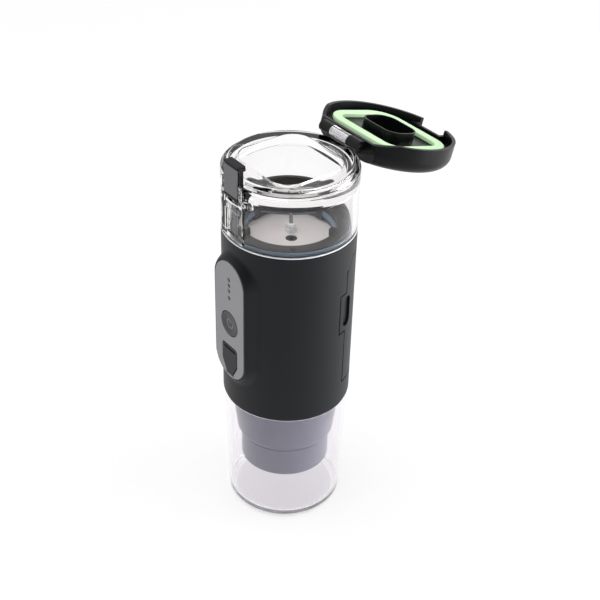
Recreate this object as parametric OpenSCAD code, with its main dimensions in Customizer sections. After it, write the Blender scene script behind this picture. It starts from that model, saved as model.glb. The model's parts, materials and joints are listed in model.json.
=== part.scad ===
// Portable espresso maker: a battery machine that stands on its own clear cup.
// Origin at the centre of the cup's base, +Z up, control panel and latch towards -Y, lid hinge towards +Y.
// The lid is drawn open, leaning on its stop behind the tank. Lengths in millimetres, angles in degrees.
// Azimuths turn from the front, -Y, towards +X.

/* [Cup] */
// Height of the cup up to the shoulder that the machine stands on
cup_h = 77; // [66:0.5:100]
// Distance that the cup's foot draws in from its shoulder
cup_taper = 2.4; // [0.5:0.1:3]
// Wall of the cup
cup_wall = 2; // [1.4:0.1:2.4]
// Thickness of the cup's floor
cup_floor = 3; // [2:0.1:6]
// Rounding of the cup's foot
cup_foot_round = 2.5; // [1:0.1:4]
// Height of the cup's lip inside the machine's skirt
cup_lip_h = 7; // [4:0.5:12]

/* [Body] */
// Outer diameter of the body and the tank
body_d = 72; // [71:0.5:90]
// Wall of the body shell
shell_wall = 2.2; // [1.6:0.1:2.4]
// Rounding of the body's lower edge
shell_edge_round = 1; // [0.4:0.1:1.4]
// Free height above the cup's lip, under the brew base
lip_room = 2; // [1:0.1:4]
// Distance from the top of the heating plate up to the joint of body and tank
plate_depth = 7.9; // [6:0.1:12]

/* [Control panel] */
// Width of the panel
panel_w = 26; // [22:0.5:30]
// Height of the panel
panel_h = 74; // [70:0.5:80]
// Thickness of the panel
panel_t = 2; // [1.8:0.1:3]
// Height of the panel's lower end above the body's lower edge
panel_low = 21.2; // [12:0.2:24]
// Distance that the panel's face stands out of the body's cylinder
panel_proud = 2.6; // [2.4:0.1:5]
// Width of the boss's rim around the panel
boss_rim = 0.8; // [0.6:0.1:3]
// Ledge that the panel sits on
panel_ledge = 2; // [1.4:0.1:3]
// Diameter of the power button
button_d = 15; // [10:0.5:16]
// Travel of the power button
button_travel = 0.6; // [0.3:0.1:1]
// Height of the button's centre above the panel's lower end
button_up = 35.5; // [30:0.5:40]
// Diameter of a battery light
led_d = 1.8; // [1:0.1:3]
// Width of the cover over the charging socket
port_cover_w = 13; // [11:0.5:15]
// Height of the cover over the charging socket
port_cover_h = 17.7; // [14:0.1:18]
// Thickness of the circuit board
board_t = 1.6; // [1:0.1:2]

/* [Battery] */
// Diameter of a battery cell
cell_d = 18.4; // [14:0.1:18.6]
// Length of a battery cell
cell_l = 65; // [60:0.5:70]
// Wall of the battery tray
tray_t = 1.4; // [1:0.1:2]
// Half of the angle that the battery door takes at the back
door_half = 67; // [60:0.5:70]
// Height of the door's lower edge above the body's lower edge
door_low = 15.3; // [12:0.1:20]
// Distance of the door's upper edge below the joint of body and tank
door_top_drop = 11.9; // [8:0.1:20]
// Angle that the door's finger tab reaches past its side edge
tab_angle = 8.6; // [4:0.2:10]
// Height of the finger tab
tab_h = 24; // [16:0.5:30]
// Depth of the finger recess
recess_depth = 1.1; // [0.5:0.1:1.2]

/* [Capsule holder] */
// Height of the holder's lower face above the table
holder_low = 28; // [26:0.5:32]
// Wall of the holder's lower cylinder
holder_wall = 1.9; // [1.4:0.1:3.4]
// Height of the holder's lower cylinder
holder_cyl_h = 15; // [6:0.5:18]
// Height of the holder's cone
holder_cone_h = 6; // [4:0.5:12]
// Wall of the holder's neck
neck_wall = 3.2; // [2.4:0.1:4]
// Wall of the capsule basket
basket_wall = 1.2; // [0.8:0.1:2]
// Height that the holder drops in one turn of its thread
thread_lead = 30; // [24:0.5:36]
// Thickness of a thread lug
lug_t = 2.2; // [1.6:0.1:2.6]
// Reach of a thread lug past its wall
lug_reach = 2.2; // [1.4:0.1:3]
// Angle that a thread lug takes
lug_wrap = 48; // [30:1:50]
// Height of the brew base's threaded socket
socket_h = 11; // [10:0.5:14]
// Thickness of the brew head
head_t = 4; // [3.4:0.1:6]

/* [Heater] */
// Width of the ring that holds the heating plate down
ring_w = 7.2; // [5.5:0.1:10]
// Thickness of the heating plate
plate_t = 1.5; // [1:0.1:3]
// Thickness of the heater element
element_t = 1.8; // [1:0.1:4]
// Height of the retaining ring above the joint of body and tank
ring_rise = 2.1; // [1:0.1:6]
// Height of the slanted splash collar above the ring, at its high side
collar_rise = 8.5; // [4:0.5:12]
// Diameter of the water outlet in the plate
outlet_d = 6.4; // [5:0.2:7]
// Diameter of the temperature probe
probe_d = 2; // [1.4:0.1:3]
// Height of the temperature probe above the plate
probe_h = 15; // [12:0.5:25]

/* [Pump] */
// Diameter of the pump's coil
coil_d = 24; // [20:0.5:26]
// Height of the pump's coil
coil_h = 24; // [20:0.5:28]
// Outer diameter of the pump's tube
pump_tube_d = 14; // [12:0.2:16]
// Diameter of the pump's plunger
plunger_d = 8.6; // [6:0.2:9]
// Travel of the plunger to either side
plunger_travel = 3; // [1:0.5:4]
// Outer diameter of a hose
hose_d = 7; // [6.4:0.1:8]
// Diameter of a hose barb
barb_d = 4.8; // [4:0.1:5.2]

/* [Tank] */
// Height of the tank
tank_h = 37.6; // [34:0.2:60]
// Wall of the tank
tank_wall = 2.9; // [2.2:0.1:3.6]
// Rounding of the tank's outer rim
rim_round = 1.6; // [0.6:0.1:1.8]
// Thickness of the deck around the tank's mouth
deck_t = 5; // [3:0.1:8]
// Width of the tank's mouth from side to side
mouth_w = 46; // [38:0.5:48]
// Depth of the tank's mouth from front to back
mouth_l = 43; // [36:0.5:44]
// Corner radius of the tank's mouth
mouth_r = 7; // [4:0.5:10]

/* [Lid] */
// Angle that the lid stands open
lid_open = 195; // [185:1:195]
// Distance that the lid stands out past the tank's wall
lid_over = 0.4; // [0:0.1:0.6]
// Height of the lid above the tank's rim
lid_h = 12; // [10.4:0.2:20]
// Depth of the lid's skirt around the tank's rim
lid_skirt = 2.6; // [1.6:0.1:3.6]
// Wall of the lid
lid_wall = 2; // [1.4:0.1:2.4]
// Rounding of the lid's top edge
lid_round = 7; // [4:0.2:8]
// Distance of the hinge axis inside the tank's outer wall
hinge_in = 3.3; // [3.2:0.1:4.2]
// Height of the hinge axis above the tank's rim
hinge_up = 3.5; // [3.4:0.1:4]
// Diameter of the hinge pin
hinge_pin_d = 2.5; // [1.6:0.1:3]
// Width of the clear hinge knuckle
knuckle_w = 13.4; // [8:0.2:18]
// Width of each lid ear
ear_w = 8.5; // [5:0.5:10]
// Width of the gasket band
gasket_w = 6.5; // [5:0.5:9]
// Thickness of the gasket
gasket_t = 2.6; // [1.6:0.1:3]
// Distance that the gasket's outer edge lies outside the mouth at the sides
gasket_side = 6; // [4:0.5:8]
// Distance that the gasket's outer edge lies outside the mouth at front and back
gasket_front = 1.5; // [1:0.5:5]
// Width of the oval wall inside the lid
oval_w = 28; // [26:0.5:36]
// Length of the oval wall from front to back
oval_l = 21.6; // [20:0.2:24]
// Distance that the oval wall stands beyond the gasket
oval_proud = 3; // [0:0.2:5]

/* [Latch] */
// Width of the latch
latch_w = 12; // [8:0.5:14]
// Thickness of the latch's plate
latch_t = 3.7; // [3.2:0.1:4]
// Height of the latch above its pin
latch_h = 18.5; // [17.5:0.1:20]
// Distance of the latch's pin below the tank's rim
latch_pin_drop = 10.5; // [8:0.5:14]
// Diameter of the latch's pin
latch_pin_d = 2; // [1.2:0.1:2.2]
// Distance that the latch stands out of the tank's cylinder
latch_proud = 0.9; // [0.5:0.1:1.5]
// Reach of the latch's hook past its plate
hook_reach = 1.4; // [1:0.1:1.6]

/* [Clearances] */
// Gap between pieces that move past each other
run_gap = 0.3; // [0.2:0.05:0.4]
// Gap around a fixed piece in its seat
fit_gap = 0.1; // [0.05:0.01:0.15]
// Radial gap of a pin in its bore
pin_gap = 0.06; // [0.02:0.01:0.1]

/* [Hidden] */
$fn = 96;
eps = 0.01;
far = 200;

// Screws, all of one kind
screw_r = 0.9;
screw_head_r = 1.7;
screw_head_h = 1.1;
screw_bite = 6;
screw_wall = 0.7;
screw_tip_room = 0.5;

// Radii, from the body's diameter inwards
collar_room = 0.8;
collar_step = 1.4;
seal_w = 0.9;
body_r = body_d / 2;
shell_in_r = body_r - shell_wall;
lip_r = shell_in_r - run_gap - fit_gap;
lip_in_r = lip_r - cup_wall;
cup_top_r = body_r - 2 * run_gap;
cup_foot_r = cup_top_r - cup_taper;
collar_r = lip_in_r - collar_room;
socket_r = collar_r - collar_step;
neck_r = socket_r - lug_reach - 2 * run_gap;
neck_in_r = neck_r - neck_wall;
basket_r = neck_in_r - run_gap;
base_r = shell_in_r - fit_gap;
tank_in_r = body_r - tank_wall;
ring_r = tank_in_r - seal_w - 2 * fit_gap;

// Heights, from the table upwards
body_z = cup_h + run_gap;
base_z = cup_h + cup_lip_h + lip_room;
head_z = base_z + socket_h;
head_top = head_z + head_t;
tray_z = head_top + run_gap;
contact_low_h = 1.6;
contact_top_h = 0.5;
cell_z = tray_z + tray_t + contact_low_h;
tray_top = cell_z + cell_l + contact_top_h + tray_t;
pan_z = tray_top + run_gap;
pan_floor = 1.2;
element_z = pan_z + pan_floor;
plate_z = element_z + element_t + plate_t;
tank_z = plate_z + plate_depth;
rim_z = tank_z + tank_h;
ring_top = tank_z + ring_rise;

// Control panel
panel_z = body_z + panel_low;
panel_mid = panel_z + panel_h / 2;
face_y = -(body_r + panel_proud);
boss_y = face_y + run_gap;
panel_back = face_y + panel_t;
post_l = 3.1;
post_r = 2;
post_x = 7;
post_dz = 12;
board_y = panel_back + post_l + fit_gap;
open_w = panel_w - 2 * panel_ledge;
open_h = panel_h - 2 * panel_ledge;
button_z = panel_z + button_up;
button_r = button_d / 2;
flange_w = 1;
flange_t = 0.8;
button_dish = 0.4;
button_dish_r = 4 * button_r;
switch_w = 6;
switch_stem_r = 1.6;
switch_stem_l = 0.4;
led_drops = [10.5, 14, 17.5, 21.9];
led_zs = [for (drop = led_drops) panel_z + panel_h - drop];
post_spots = [for (x = [-post_x, post_x], dz = [-post_dz, post_dz]) [x, button_z + dz]];
port_pin_d = 0.9;
port_pin_in = 0.5;
port_axis_up = 2.8;
port_axis_z = panel_z + port_axis_up;
port_axis_in = 1;
port_axis_y = face_y + port_axis_in;
port_roll_r = 0.9;
port_roll_w = 6;
port_swing_room = 1.8;
port_side_room = 1.2;
cover_t = 1.2;
cover_taper_h = 7;
cover_corner = 2;
cover_groove = 0.8;
cover_groove_drop = 2.2;
cover_groove_in = 3;
plug_w = 6.8;
plug_t = 1.4;
plug_l = 0.6;
socket_up = 11.5;
socket_z = panel_z + socket_up;
socket_w = 9;
socket_t = 3.4;
socket_wall = 0.4;
socket_room = 0.5;
board_room = 0.5;
board_end = 3;
board_h = led_zs[0] - socket_z + 2 * board_end;
board_mid = (led_zs[0] + socket_z) / 2;

// Battery
cell_r = cell_d / 2;
cell_room = 0.6;
cell_ring_r = shell_in_r - cell_r - cell_room;
cell_step = 2 * asin((cell_r + cell_room / 2) / cell_ring_r);
cell_cap_r = 3.2;
cell_cap_h = 1.2;
contact_r = 4.5;
cell_spots = [for (i = [-1:1]) polar(cell_ring_r, 180 + i * cell_step)];
tray_front = cell_ring_r * cos(cell_step) - cell_r - 2 * run_gap;
door_z = body_z + door_low;
door_top = tank_z - door_top_drop;
door_gap = run_gap / body_r * 180 / PI;
door_a = 180 - door_half;
tab_up = 35.4;
tab_z = door_z + tab_up;
corner_h = 7;
corner_slope = 33;
recess_w = 6;
recess_end = 2.5;
recess_angle = 4;

// Pump, on one line with the brew head's inlet
frame_t = 2;
frame_edge = 1;
mount_t = 1.6;
mount_r = 4;
mount_x = 7;
pump_y = tray_front - tray_t - mount_t - frame_t - run_gap - coil_d / 2;
barb_l = 4.5;
barb_wall = 1;
barb_room = 2;
tube_z = head_top + 2 * barb_l + barb_room;
plunger_l = 16;
spring_room = 5;
cap_t = 2;
tube_l = plunger_l + 2 * (plunger_travel + spring_room + cap_t);
coil_z = tube_z + (tube_l - coil_h) / 2;
bore_r = plunger_d / 2 + run_gap;
barb_r = barb_d / 2;
channel_r = barb_r - barb_wall;
spring_r = plunger_d / 2 - 0.2;
spring_wire = 1;
hose_in_r = barb_r + fit_gap / 2;
hose_r = hose_d / 2;
hose_end = 0.5;
hose_bend_rings = 6;
hose_sides = 12;

// Heater
outlet_x = 2;
outlet_xy = [outlet_x, 0];
probe_xy = [-4, 4];
plate_open_r = ring_r - ring_w;
plate_hold = 3.4;
plate_r = plate_open_r + plate_hold;
plate_seat = 3;
gasket_ring_t = 0.8;
element_in = 4;
element_w = 8.4;
element_r = plate_open_r - element_in;
outlet_flange = 1.2;
outlet_sink = 0.4;
outlet_foot = 1;
probe_room = 0.5;
grommet_foot_w = 2;
grommet_foot_h = 3.6;
grommet_neck_w = 1.1;
grommet_h = 7.6;
ring_tab_reach = 1.2;
ring_tab_drop = 2;
splash_t = 2;
splash_az = 142;
ring_tab_az = 4;
ring_tab_wrap = 12;
ring_screw_az = 57;
ring_screw_spots = quarter_spots(plate_r + fit_gap + screw_r + screw_wall, ring_screw_az);

// Lid, drawn shut and then turned open, and latch
hinge_y = body_r - hinge_in;
hinge_z = rim_z + hinge_up;
lid_z = rim_z + run_gap;
lid_top = lid_z + lid_h;
lid_r = body_r + lid_over;
ear_r = hinge_up - run_gap - fit_gap;
ear_x = knuckle_w / 2 + run_gap;
hinge_room = 4.1;
back_cut_y = hinge_y - hinge_room;
back_cut_z = hinge_z + 2.5;
hinge_pin_in = 1;
ear_root = 0.3;
ear_shave = 0.2;
ear_back_h = 1.9;
knuckle_root = 1;
knuckle_front = 1.9;
notch_side = 3.4;
notch_w = latch_w + 2 * notch_side;
catch_reach = 1.5;
catch_up = 2.8;
catch_z = lid_z + catch_up;
catch_t = 1.4;
liner_z = lid_z + gasket_t;
liner_t = 2;
oval_t = 0.8;
oval_r = 8;
dish_floor = 1.2;
dish_room = 1;
dish_top = lid_top - lid_wall - dish_floor - dish_room;
vent_y = -4;
vent_r = 2.4;
vent_h = 2;
vent_stem_r = 1;
vent_stem_l = 2;
gasket_corner = 7;
latch_pin_z = rim_z - latch_pin_drop;
latch_y = -(body_r + latch_proud);
latch_back = latch_y + latch_t;
latch_pin_y = latch_y + latch_t / 2;
hook_z = catch_z + catch_t + 2 * run_gap;
hook_y = latch_back + hook_reach;
catch_y = hook_y + run_gap;
notch_y = catch_y + catch_reach;
latch_groove_drop = 1.6;
latch_groove_w = 0.6;
latch_groove_depth = 0.5;
latch_room = 1.3;
latch_room_low = 1.5;
latch_room_y = latch_back + latch_room;
latch_room_z = latch_pin_z - latch_t / 2 - latch_room_low;
room_wall = 3.4;
room_floor = 2;
rail_x = latch_w / 2 + run_gap + fit_gap;
rail_w = 2.6;
rail_proud = 0.4;
rail_y = -(body_r + rail_proud);
rail_low = 5.5;
rail_top_drop = 2;
rail_root = body_r - tank_wall / 2;
window_w = 2 * (rail_x + rail_w);
window_rim = 3;
window_floor = 0.4;
window_low = 2.6;
window_drop = 5;

// Stepped rim of the tank, inside the lid's skirt
skirt_room = 1.4;
skirt_run = 9;
skirt_end = back_cut_y;
rim_r = lid_r - lid_wall - skirt_room;
ledge_z = rim_z - lid_skirt;
ledge_round = 1;
dome_r = 8;

// Brewing chamber
key_in = 3;
key_half = 2;
key_rise = 1.4;
key_l = 8;
lug_root = 0.6;
lug_drop = 2;
brew_seal_t = 1.4;
chamber_top = head_z - brew_seal_t - run_gap;
piercing_rim = 1;
piercing_r = channel_r + piercing_rim - pump_y;
piercing_t = 1;
spike_l = 7;
spike_spread = 6;
spike_tip_r = 0.2;
spike_root_r = 1.4;
head_screw_az = 45;
head_screw_spots = quarter_spots((base_r + socket_r) / 2, head_screw_az);
holder_round = 1.5;
holder_floor = 3;
holder_in = 1.6;
collar_edge = 1.6;
collar_edge_h = 15;
sieve_t = 3;
sieve_in = 2;
sieve_hole_r = 0.8;
sieve_hole_spread = 8;
basket_z = holder_low + holder_floor + sieve_t;
basket_floor = 1;
basket_hole_r = 2.5;
capsule_r = basket_r - 4.4;
spout_r = 7;
spout_h = 4;
spout_stem_r = 3;
spout_bore_r = 1.6;

function polar(r, az) = [r * sin(az), -r * cos(az)];
function quarter_spots(r, az) = [for (i = [0:3]) polar(r, az + 90 * i)];
function arc(cx, cy, r, a0, a1, n = 8) = [for (i = [0:n]) let(a = a0 + (a1 - a0) * i / n)
    [cx + r * cos(a), cy + r * sin(a)]];
function shield(g) = let(w = port_cover_w / 2 + g, b = port_axis_z - g, t = port_axis_z + port_cover_h + g)
    [[-port_roll_w / 2 - g, b], [port_roll_w / 2 + g, b], [w, b + cover_taper_h], [w, t - cover_corner],
     [w - cover_corner, t], [cover_corner - w, t], [-w, t - cover_corner], [-w, b + cover_taper_h]];

// A round tube between two heights
module tube(r_out, r_in, z0, z1) {
    translate([0, 0, z0])
        difference() {
            cylinder(r = r_out, h = z1 - z0);
            translate([0, 0, -1])
                cylinder(r = r_in, h = z1 - z0 + 2);
        }
}

// A round bar between two heights
module bar(r, z0, z1) {
    translate([0, 0, z0])
        cylinder(r = r, h = z1 - z0);
}

// A part of a tube between two azimuths
module sector(r_in, r_out, z0, z1, a0, a1) {
    rotate([0, 0, a0 - 90])
        rotate_extrude(angle = a1 - a0)
            translate([r_in, z0])
                square([r_out - r_in, z1 - z0]);
}

// A flat shape in X and Z, drawn out along Y
module from_front(y0, y1) {
    translate([0, y1, 0])
        rotate([90, 0, 0])
            linear_extrude(y1 - y0)
                children();
}

// A round bar along Y
module bar_y(r, x, z, y0, y1) {
    translate([x, y1, z])
        rotate([90, 0, 0])
            cylinder(r = r, h = y1 - y0);
}

// A round bar along X
module bar_x(r, y, z, x0, x1) {
    translate([x0, y, z])
        rotate([0, 90, 0])
            cylinder(r = r, h = x1 - x0);
}

// A block between two corners
module block(lo, hi) {
    translate(lo)
        cube(hi - lo);
}

// An upright slot shape with round ends, around a height
module stadium(w, h, mid = panel_mid) {
    translate([-w / 2, mid - h / 2 + w / 2])
        square([w, h - w]);
    for (s = [-1, 1])
        translate([0, mid + s * (h - w) / 2])
            circle(d = w);
}

// A rectangle with round corners
module round_rect(w, l, r) {
    square([w - 2 * r, l], center = true);
    square([w, l - 2 * r], center = true);
    for (x = [-1, 1], y = [-1, 1])
        translate([x * (w / 2 - r), y * (l / 2 - r)])
            circle(r = r);
}

// A screw between two heights, its head's top a little under the upper one
module screw(z0, z1) {
    bar(screw_r, z0, z1 - fit_gap - screw_head_h + eps);
    bar(screw_head_r, z1 - fit_gap - screw_head_h, z1 - fit_gap);
}

// The hole for a screw, with its head sunk below the upper height
module screw_hole(z0, z1) {
    bar(screw_r + fit_gap / 2, z0, z1);
    bar(screw_head_r + fit_gap, z1 - fit_gap - screw_head_h, z1 + 1);
}

// The two keys that stop the basket from turning, or their slots when grown by a gap
module basket_keys(z0, z1, gap) {
    for (s = [-1, 1])
        block([s * (basket_r - key_in) - key_half - gap, -key_half - gap, z0],
            [s * (basket_r - key_in) + key_half + gap, key_half + gap, z1]);
}

// One lug of the holder's quick thread: it sinks as its azimuth grows
module thread_lug(r0, r1, z_top, a0) {
    steps = 10;
    points = [for (i = [0:steps])
        let(a = a0 + lug_wrap * i / steps, z = z_top - thread_lead * (a - a0) / 360)
        each [[each polar(r0, a), z - lug_t], [each polar(r1, a), z - lug_t],
              [each polar(r1, a), z], [each polar(r0, a), z]]];
    last = 4 * steps;
    sides = [for (i = [0:steps - 1]) let(b = 4 * i, c = 4 * i + 4)
        each [[b + 1, b + 2, c + 2], [b + 1, c + 2, c + 1], [c, c + 3, b + 3], [c, b + 3, b],
              [b + 3, c + 3, c + 2], [b + 3, c + 2, b + 2], [b, b + 1, c + 1], [b, c + 1, c]]];
    ends = [[0, 3, 2], [0, 2, 1], [last, last + 1, last + 2], [last, last + 2, last + 3]];
    polyhedron(points, concat(sides, ends));
}

// Three thread lugs around the axis
module thread_lugs(r0, r1, z_top) {
    for (i = [0:2])
        thread_lug(r0, r1, z_top, 120 * i);
}

// Turns the lid from shut to its open stop
module lid_pose() {
    translate([0, hinge_y, hinge_z])
        rotate([-lid_open, 0, 0])
            translate([0, -hinge_y, -hinge_z])
                children();
}

module drinking_cup() {
    outer = concat([[0, 0]], arc(cup_foot_r - cup_foot_round, cup_foot_round, cup_foot_round, -90, 0),
        [[cup_top_r, cup_h], [lip_r, cup_h], [lip_r, cup_h + cup_lip_h], [lip_in_r, cup_h + cup_lip_h],
         [lip_in_r, cup_h - cup_wall], [cup_foot_r - cup_wall, cup_floor + cup_foot_round]],
        arc(cup_foot_r - cup_wall - cup_foot_round, cup_floor + cup_foot_round, cup_foot_round, 0, -90),
        [[0, cup_floor]]);
    color("aliceblue", 0.4)
        rotate_extrude()
            polygon(outer);
}

// A wedge of space around the axis between two azimuths, less than a half turn apart
module wedge(z0, z1, a0, a1) {
    translate([0, 0, z0])
        linear_extrude(z1 - z0)
            polygon([[0, 0], polar(far, a0), polar(far, (a0 + a1) / 2), polar(far, a1)]);
}

// The door's outline on the body, grown by an angle and a height
module door_outline(r_in, r_out, grow, rise) {
    reach = door_half + tab_angle + grow;
    intersection() {
        tube(r_out, r_in, door_z - rise, door_top + rise);
        union() {
            difference() {
                wedge(door_z - far, door_top + far, door_a - grow, 360 - door_a + grow);
                for (s = [-1, 1])
                    rotate([0, 0, 90 + s * door_half])
                        translate([0, 0, door_top - corner_h + rise])
                            rotate([s * corner_slope, 0, 0])
                                translate([-1, s > 0 ? -1 : -far, 0])
                                    cube([far, far + 1, far]);
            }
            wedge(tab_z - rise, tab_z + tab_h + rise, 180 - reach, 180 + reach);
        }
    }
}

module body_shell() {
    edge = shell_edge_round;
    profile = concat([[shell_in_r, tank_z], [shell_in_r, body_z]],
        arc(body_r - edge, body_z + edge, edge, -90, 0), [[body_r, tank_z]]);
    color([0.16, 0.17, 0.18])
        difference() {
            union() {
                rotate_extrude()
                    polygon(profile);
                difference() {
                    from_front(boss_y, -shell_in_r / 2)
                        stadium(panel_w + 2 * boss_rim, panel_h + 2 * boss_rim);
                    bar(shell_in_r, body_z, tank_z);
                }
            }
            from_front(face_y - 1, panel_back + fit_gap)
                stadium(panel_w + 2 * fit_gap, panel_h + 2 * fit_gap);
            from_front(face_y - 1, 0)
                stadium(open_w, open_h);
            block([-port_roll_w / 2 - run_gap, face_y, port_axis_z - port_roll_r - run_gap],
                [port_roll_w / 2 + run_gap, port_axis_y + port_roll_r + run_gap, panel_mid]);
            door_outline(shell_in_r - 1, body_r + 1, door_gap, run_gap);
        }
}

module control_panel() {
    color([0.42, 0.42, 0.44])
        difference() {
            union() {
                from_front(face_y, panel_back)
                    stadium(panel_w, panel_h);
                for (p = post_spots)
                    bar_y(post_r, p[0], p[1], panel_back - eps, panel_back + post_l);
            }
            bar_y(button_r + run_gap, 0, button_z, face_y - 1, panel_back + 1);
            for (z = led_zs)
                bar_y(led_d / 2 + fit_gap / 2, 0, z, face_y - 1, panel_back + 1);
            for (p = post_spots)
                bar_y(screw_r + fit_gap / 2, p[0], p[1], panel_back + fit_gap, panel_back + post_l + 1);
            from_front(face_y - 1, face_y + cover_t + run_gap)
                polygon(shield(run_gap));
            block([-port_roll_w / 2 - port_side_room, face_y - 1, port_axis_z - port_swing_room],
                [port_roll_w / 2 + port_side_room, panel_back + 1, port_axis_z + port_roll_r + run_gap]);
            bar_x(port_pin_d / 2 + pin_gap, port_axis_y, port_axis_z, -port_cover_w / 2, port_cover_w / 2);
            block([-socket_w / 2 - socket_room, face_y - 1, socket_z - socket_t / 2],
                [socket_w / 2 + socket_room, panel_back + 1, socket_z + socket_t / 2]);
        }
}

module led_lenses() {
    color([0.75, 0.82, 0.9])
        for (z = led_zs)
            bar_y(led_d / 2, 0, z, face_y - fit_gap, board_y - fit_gap);
}

module control_board() {
    color([0.05, 0.3, 0.15])
        difference() {
            from_front(board_y, board_y + board_t)
                stadium(open_w - 2 * board_room, board_h, board_mid);
            for (p = post_spots)
                bar_y(screw_r + fit_gap / 2, p[0], p[1], board_y - 1, board_y + board_t + 1);
        }
}

module button_switch() {
    stem_y = panel_back + run_gap + flange_t + button_travel + run_gap;
    color([0.1, 0.1, 0.1])
        union() {
            block([-switch_w / 2, stem_y + switch_stem_l, button_z - switch_w / 2],
                [switch_w / 2, board_y, button_z + switch_w / 2]);
            bar_y(switch_stem_r, 0, button_z, stem_y, board_y);
        }
}

module charging_socket() {
    color("silver")
        difference() {
            block([-socket_w / 2, panel_back + run_gap, socket_z - socket_t / 2],
                [socket_w / 2, board_y, socket_z + socket_t / 2]);
            block([-socket_w / 2 + socket_wall, panel_back - 1, socket_z - socket_t / 2 + socket_wall],
                [socket_w / 2 - socket_wall, board_y - socket_wall, socket_z + socket_t / 2 - socket_wall]);
        }
}

module board_screws() {
    color("dimgray")
        for (p = post_spots)
            union() {
                bar_y(screw_head_r, p[0], p[1], board_y + board_t, board_y + board_t + screw_head_h);
                bar_y(screw_r, p[0], p[1], panel_back + screw_tip_room, board_y + board_t + eps);
            }
}

module port_pin() {
    color("silver")
        bar_x(port_pin_d / 2, port_axis_y, port_axis_z, port_pin_in - port_cover_w / 2,
            port_cover_w / 2 - port_pin_in);
}

module power_button() {
    back = panel_back + run_gap;
    color([0.36, 0.36, 0.38])
        difference() {
            union() {
                bar_y(button_r, 0, button_z, face_y + fit_gap, back + flange_t);
                bar_y(button_r + flange_w, 0, button_z, back, back + flange_t);
            }
            translate([0, face_y - button_dish_r + button_dish, button_z])
                sphere(r = button_dish_r);
        }
}

module port_cover() {
    color([0.3, 0.3, 0.32])
        difference() {
            union() {
                from_front(face_y, face_y + cover_t)
                    polygon(shield(0));
                bar_x(port_roll_r, port_axis_y, port_axis_z, -port_roll_w / 2, port_roll_w / 2);
                block([-plug_w / 2, face_y + cover_t - eps, socket_z - plug_t / 2],
                    [plug_w / 2, panel_back + run_gap + plug_l, socket_z + plug_t / 2]);
            }
            bar_x(port_pin_d / 2 + pin_gap, port_axis_y, port_axis_z, -port_roll_w, port_roll_w);
            translate([0, face_y, port_axis_z + port_cover_h - cover_groove_drop])
                rotate([45, 0, 0])
                    cube([port_cover_w - 2 * cover_groove_in, cover_groove, cover_groove], center = true);
        }
}

// The threaded socket that the holder screws into
module brew_base() {
    color([0.2, 0.2, 0.22])
        union() {
            difference() {
                tube(base_r, socket_r, base_z, head_z);
                for (p = head_screw_spots)
                    translate(p)
                        bar(screw_r + fit_gap / 2, head_z - screw_bite - screw_tip_room, head_z + 1);
            }
            thread_lugs(neck_r + run_gap, socket_r + lug_root, head_z - lug_drop - lug_t - run_gap);
        }
}

module brew_head() {
    color([0.3, 0.3, 0.32])
        difference() {
            union() {
                bar(base_r, head_z, head_top);
                translate([0, pump_y, 0])
                    bar(barb_r, head_top - eps, head_top + barb_l);
            }
            translate([0, pump_y, 0])
                bar(channel_r, head_z - 1, head_top + barb_l + 1);
            for (p = head_screw_spots)
                translate(p)
                    screw_hole(head_z - 1, head_top);
            basket_keys(head_z - 1, head_z + key_rise + 2 * run_gap, run_gap);
        }
}

module brew_seal() {
    color([0.75, 0.3, 0.2])
        tube(neck_r, basket_r + run_gap, head_z - brew_seal_t, head_z);
}

module piercing_plate() {
    color("silver")
        difference() {
            union() {
                bar(piercing_r, head_z - piercing_t, head_z);
                for (i = [0:2])
                    translate([each polar(spike_spread, 60 + 120 * i), head_z - piercing_t - spike_l])
                        cylinder(r1 = spike_tip_r, r2 = spike_root_r, h = spike_l + eps);
            }
            translate([0, pump_y, 0])
                bar(channel_r, head_z - piercing_t - 1, head_z + 1);
            basket_keys(head_z - piercing_t - 1, head_z + 1, run_gap);
        }
}

module head_screws() {
    color("dimgray")
        for (p = head_screw_spots)
            translate(p)
                screw(head_z - screw_bite, head_top);
}

module battery_tray() {
    color([0.25, 0.25, 0.27])
        intersection() {
            bar(base_r, tray_z, tray_top);
            difference() {
                union() {
                    block([-far / 2, tray_front - tray_t, tray_z], [far / 2, tray_front, tray_top]);
                    for (z = [tray_z, tray_top - tray_t])
                        block([-far / 2, tray_front - tray_t, z], [far / 2, far / 2, z + tray_t]);
                }
                translate([outlet_x, 0, 0])
                    bar(hose_r + run_gap, tray_top - tray_t - barb_l - hose_d, tray_top + 1);
            }
        }
}

module battery_cells() {
    color([0.2, 0.4, 0.65])
        for (p = cell_spots)
            translate(p)
                difference() {
                    bar(cell_r, cell_z, cell_z + cell_l);
                    tube(cell_r + 1, cell_cap_r, cell_z + cell_l - cell_cap_h, cell_z + cell_l + 1);
                }
}

module battery_contacts() {
    color("gold")
        for (p = cell_spots)
            translate(p) {
                bar(contact_r, cell_z - contact_low_h, cell_z);
                bar(contact_r, cell_z + cell_l, cell_z + cell_l + contact_top_h);
            }
}

module pump_frame() {
    back = tray_front - tray_t - mount_t;
    half = coil_d / 2 + frame_edge;
    color("lightgray")
        difference() {
            union() {
                block([-half, back - frame_t, coil_z - frame_t], [half, back, coil_z + coil_h + frame_t]);
                for (z = [coil_z - frame_t, coil_z + coil_h])
                    block([-half, pump_y - half, z], [half, back, z + frame_t]);
            }
            translate([0, pump_y, 0])
                bar(pump_tube_d / 2 + fit_gap, coil_z - far / 2, coil_z + far / 2);
        }
}

module pump_coil() {
    color([0.1, 0.1, 0.1])
        translate([0, pump_y, 0])
            tube(coil_d / 2, pump_tube_d / 2 + fit_gap, coil_z + fit_gap / 2, coil_z + coil_h - fit_gap / 2);
}

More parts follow.
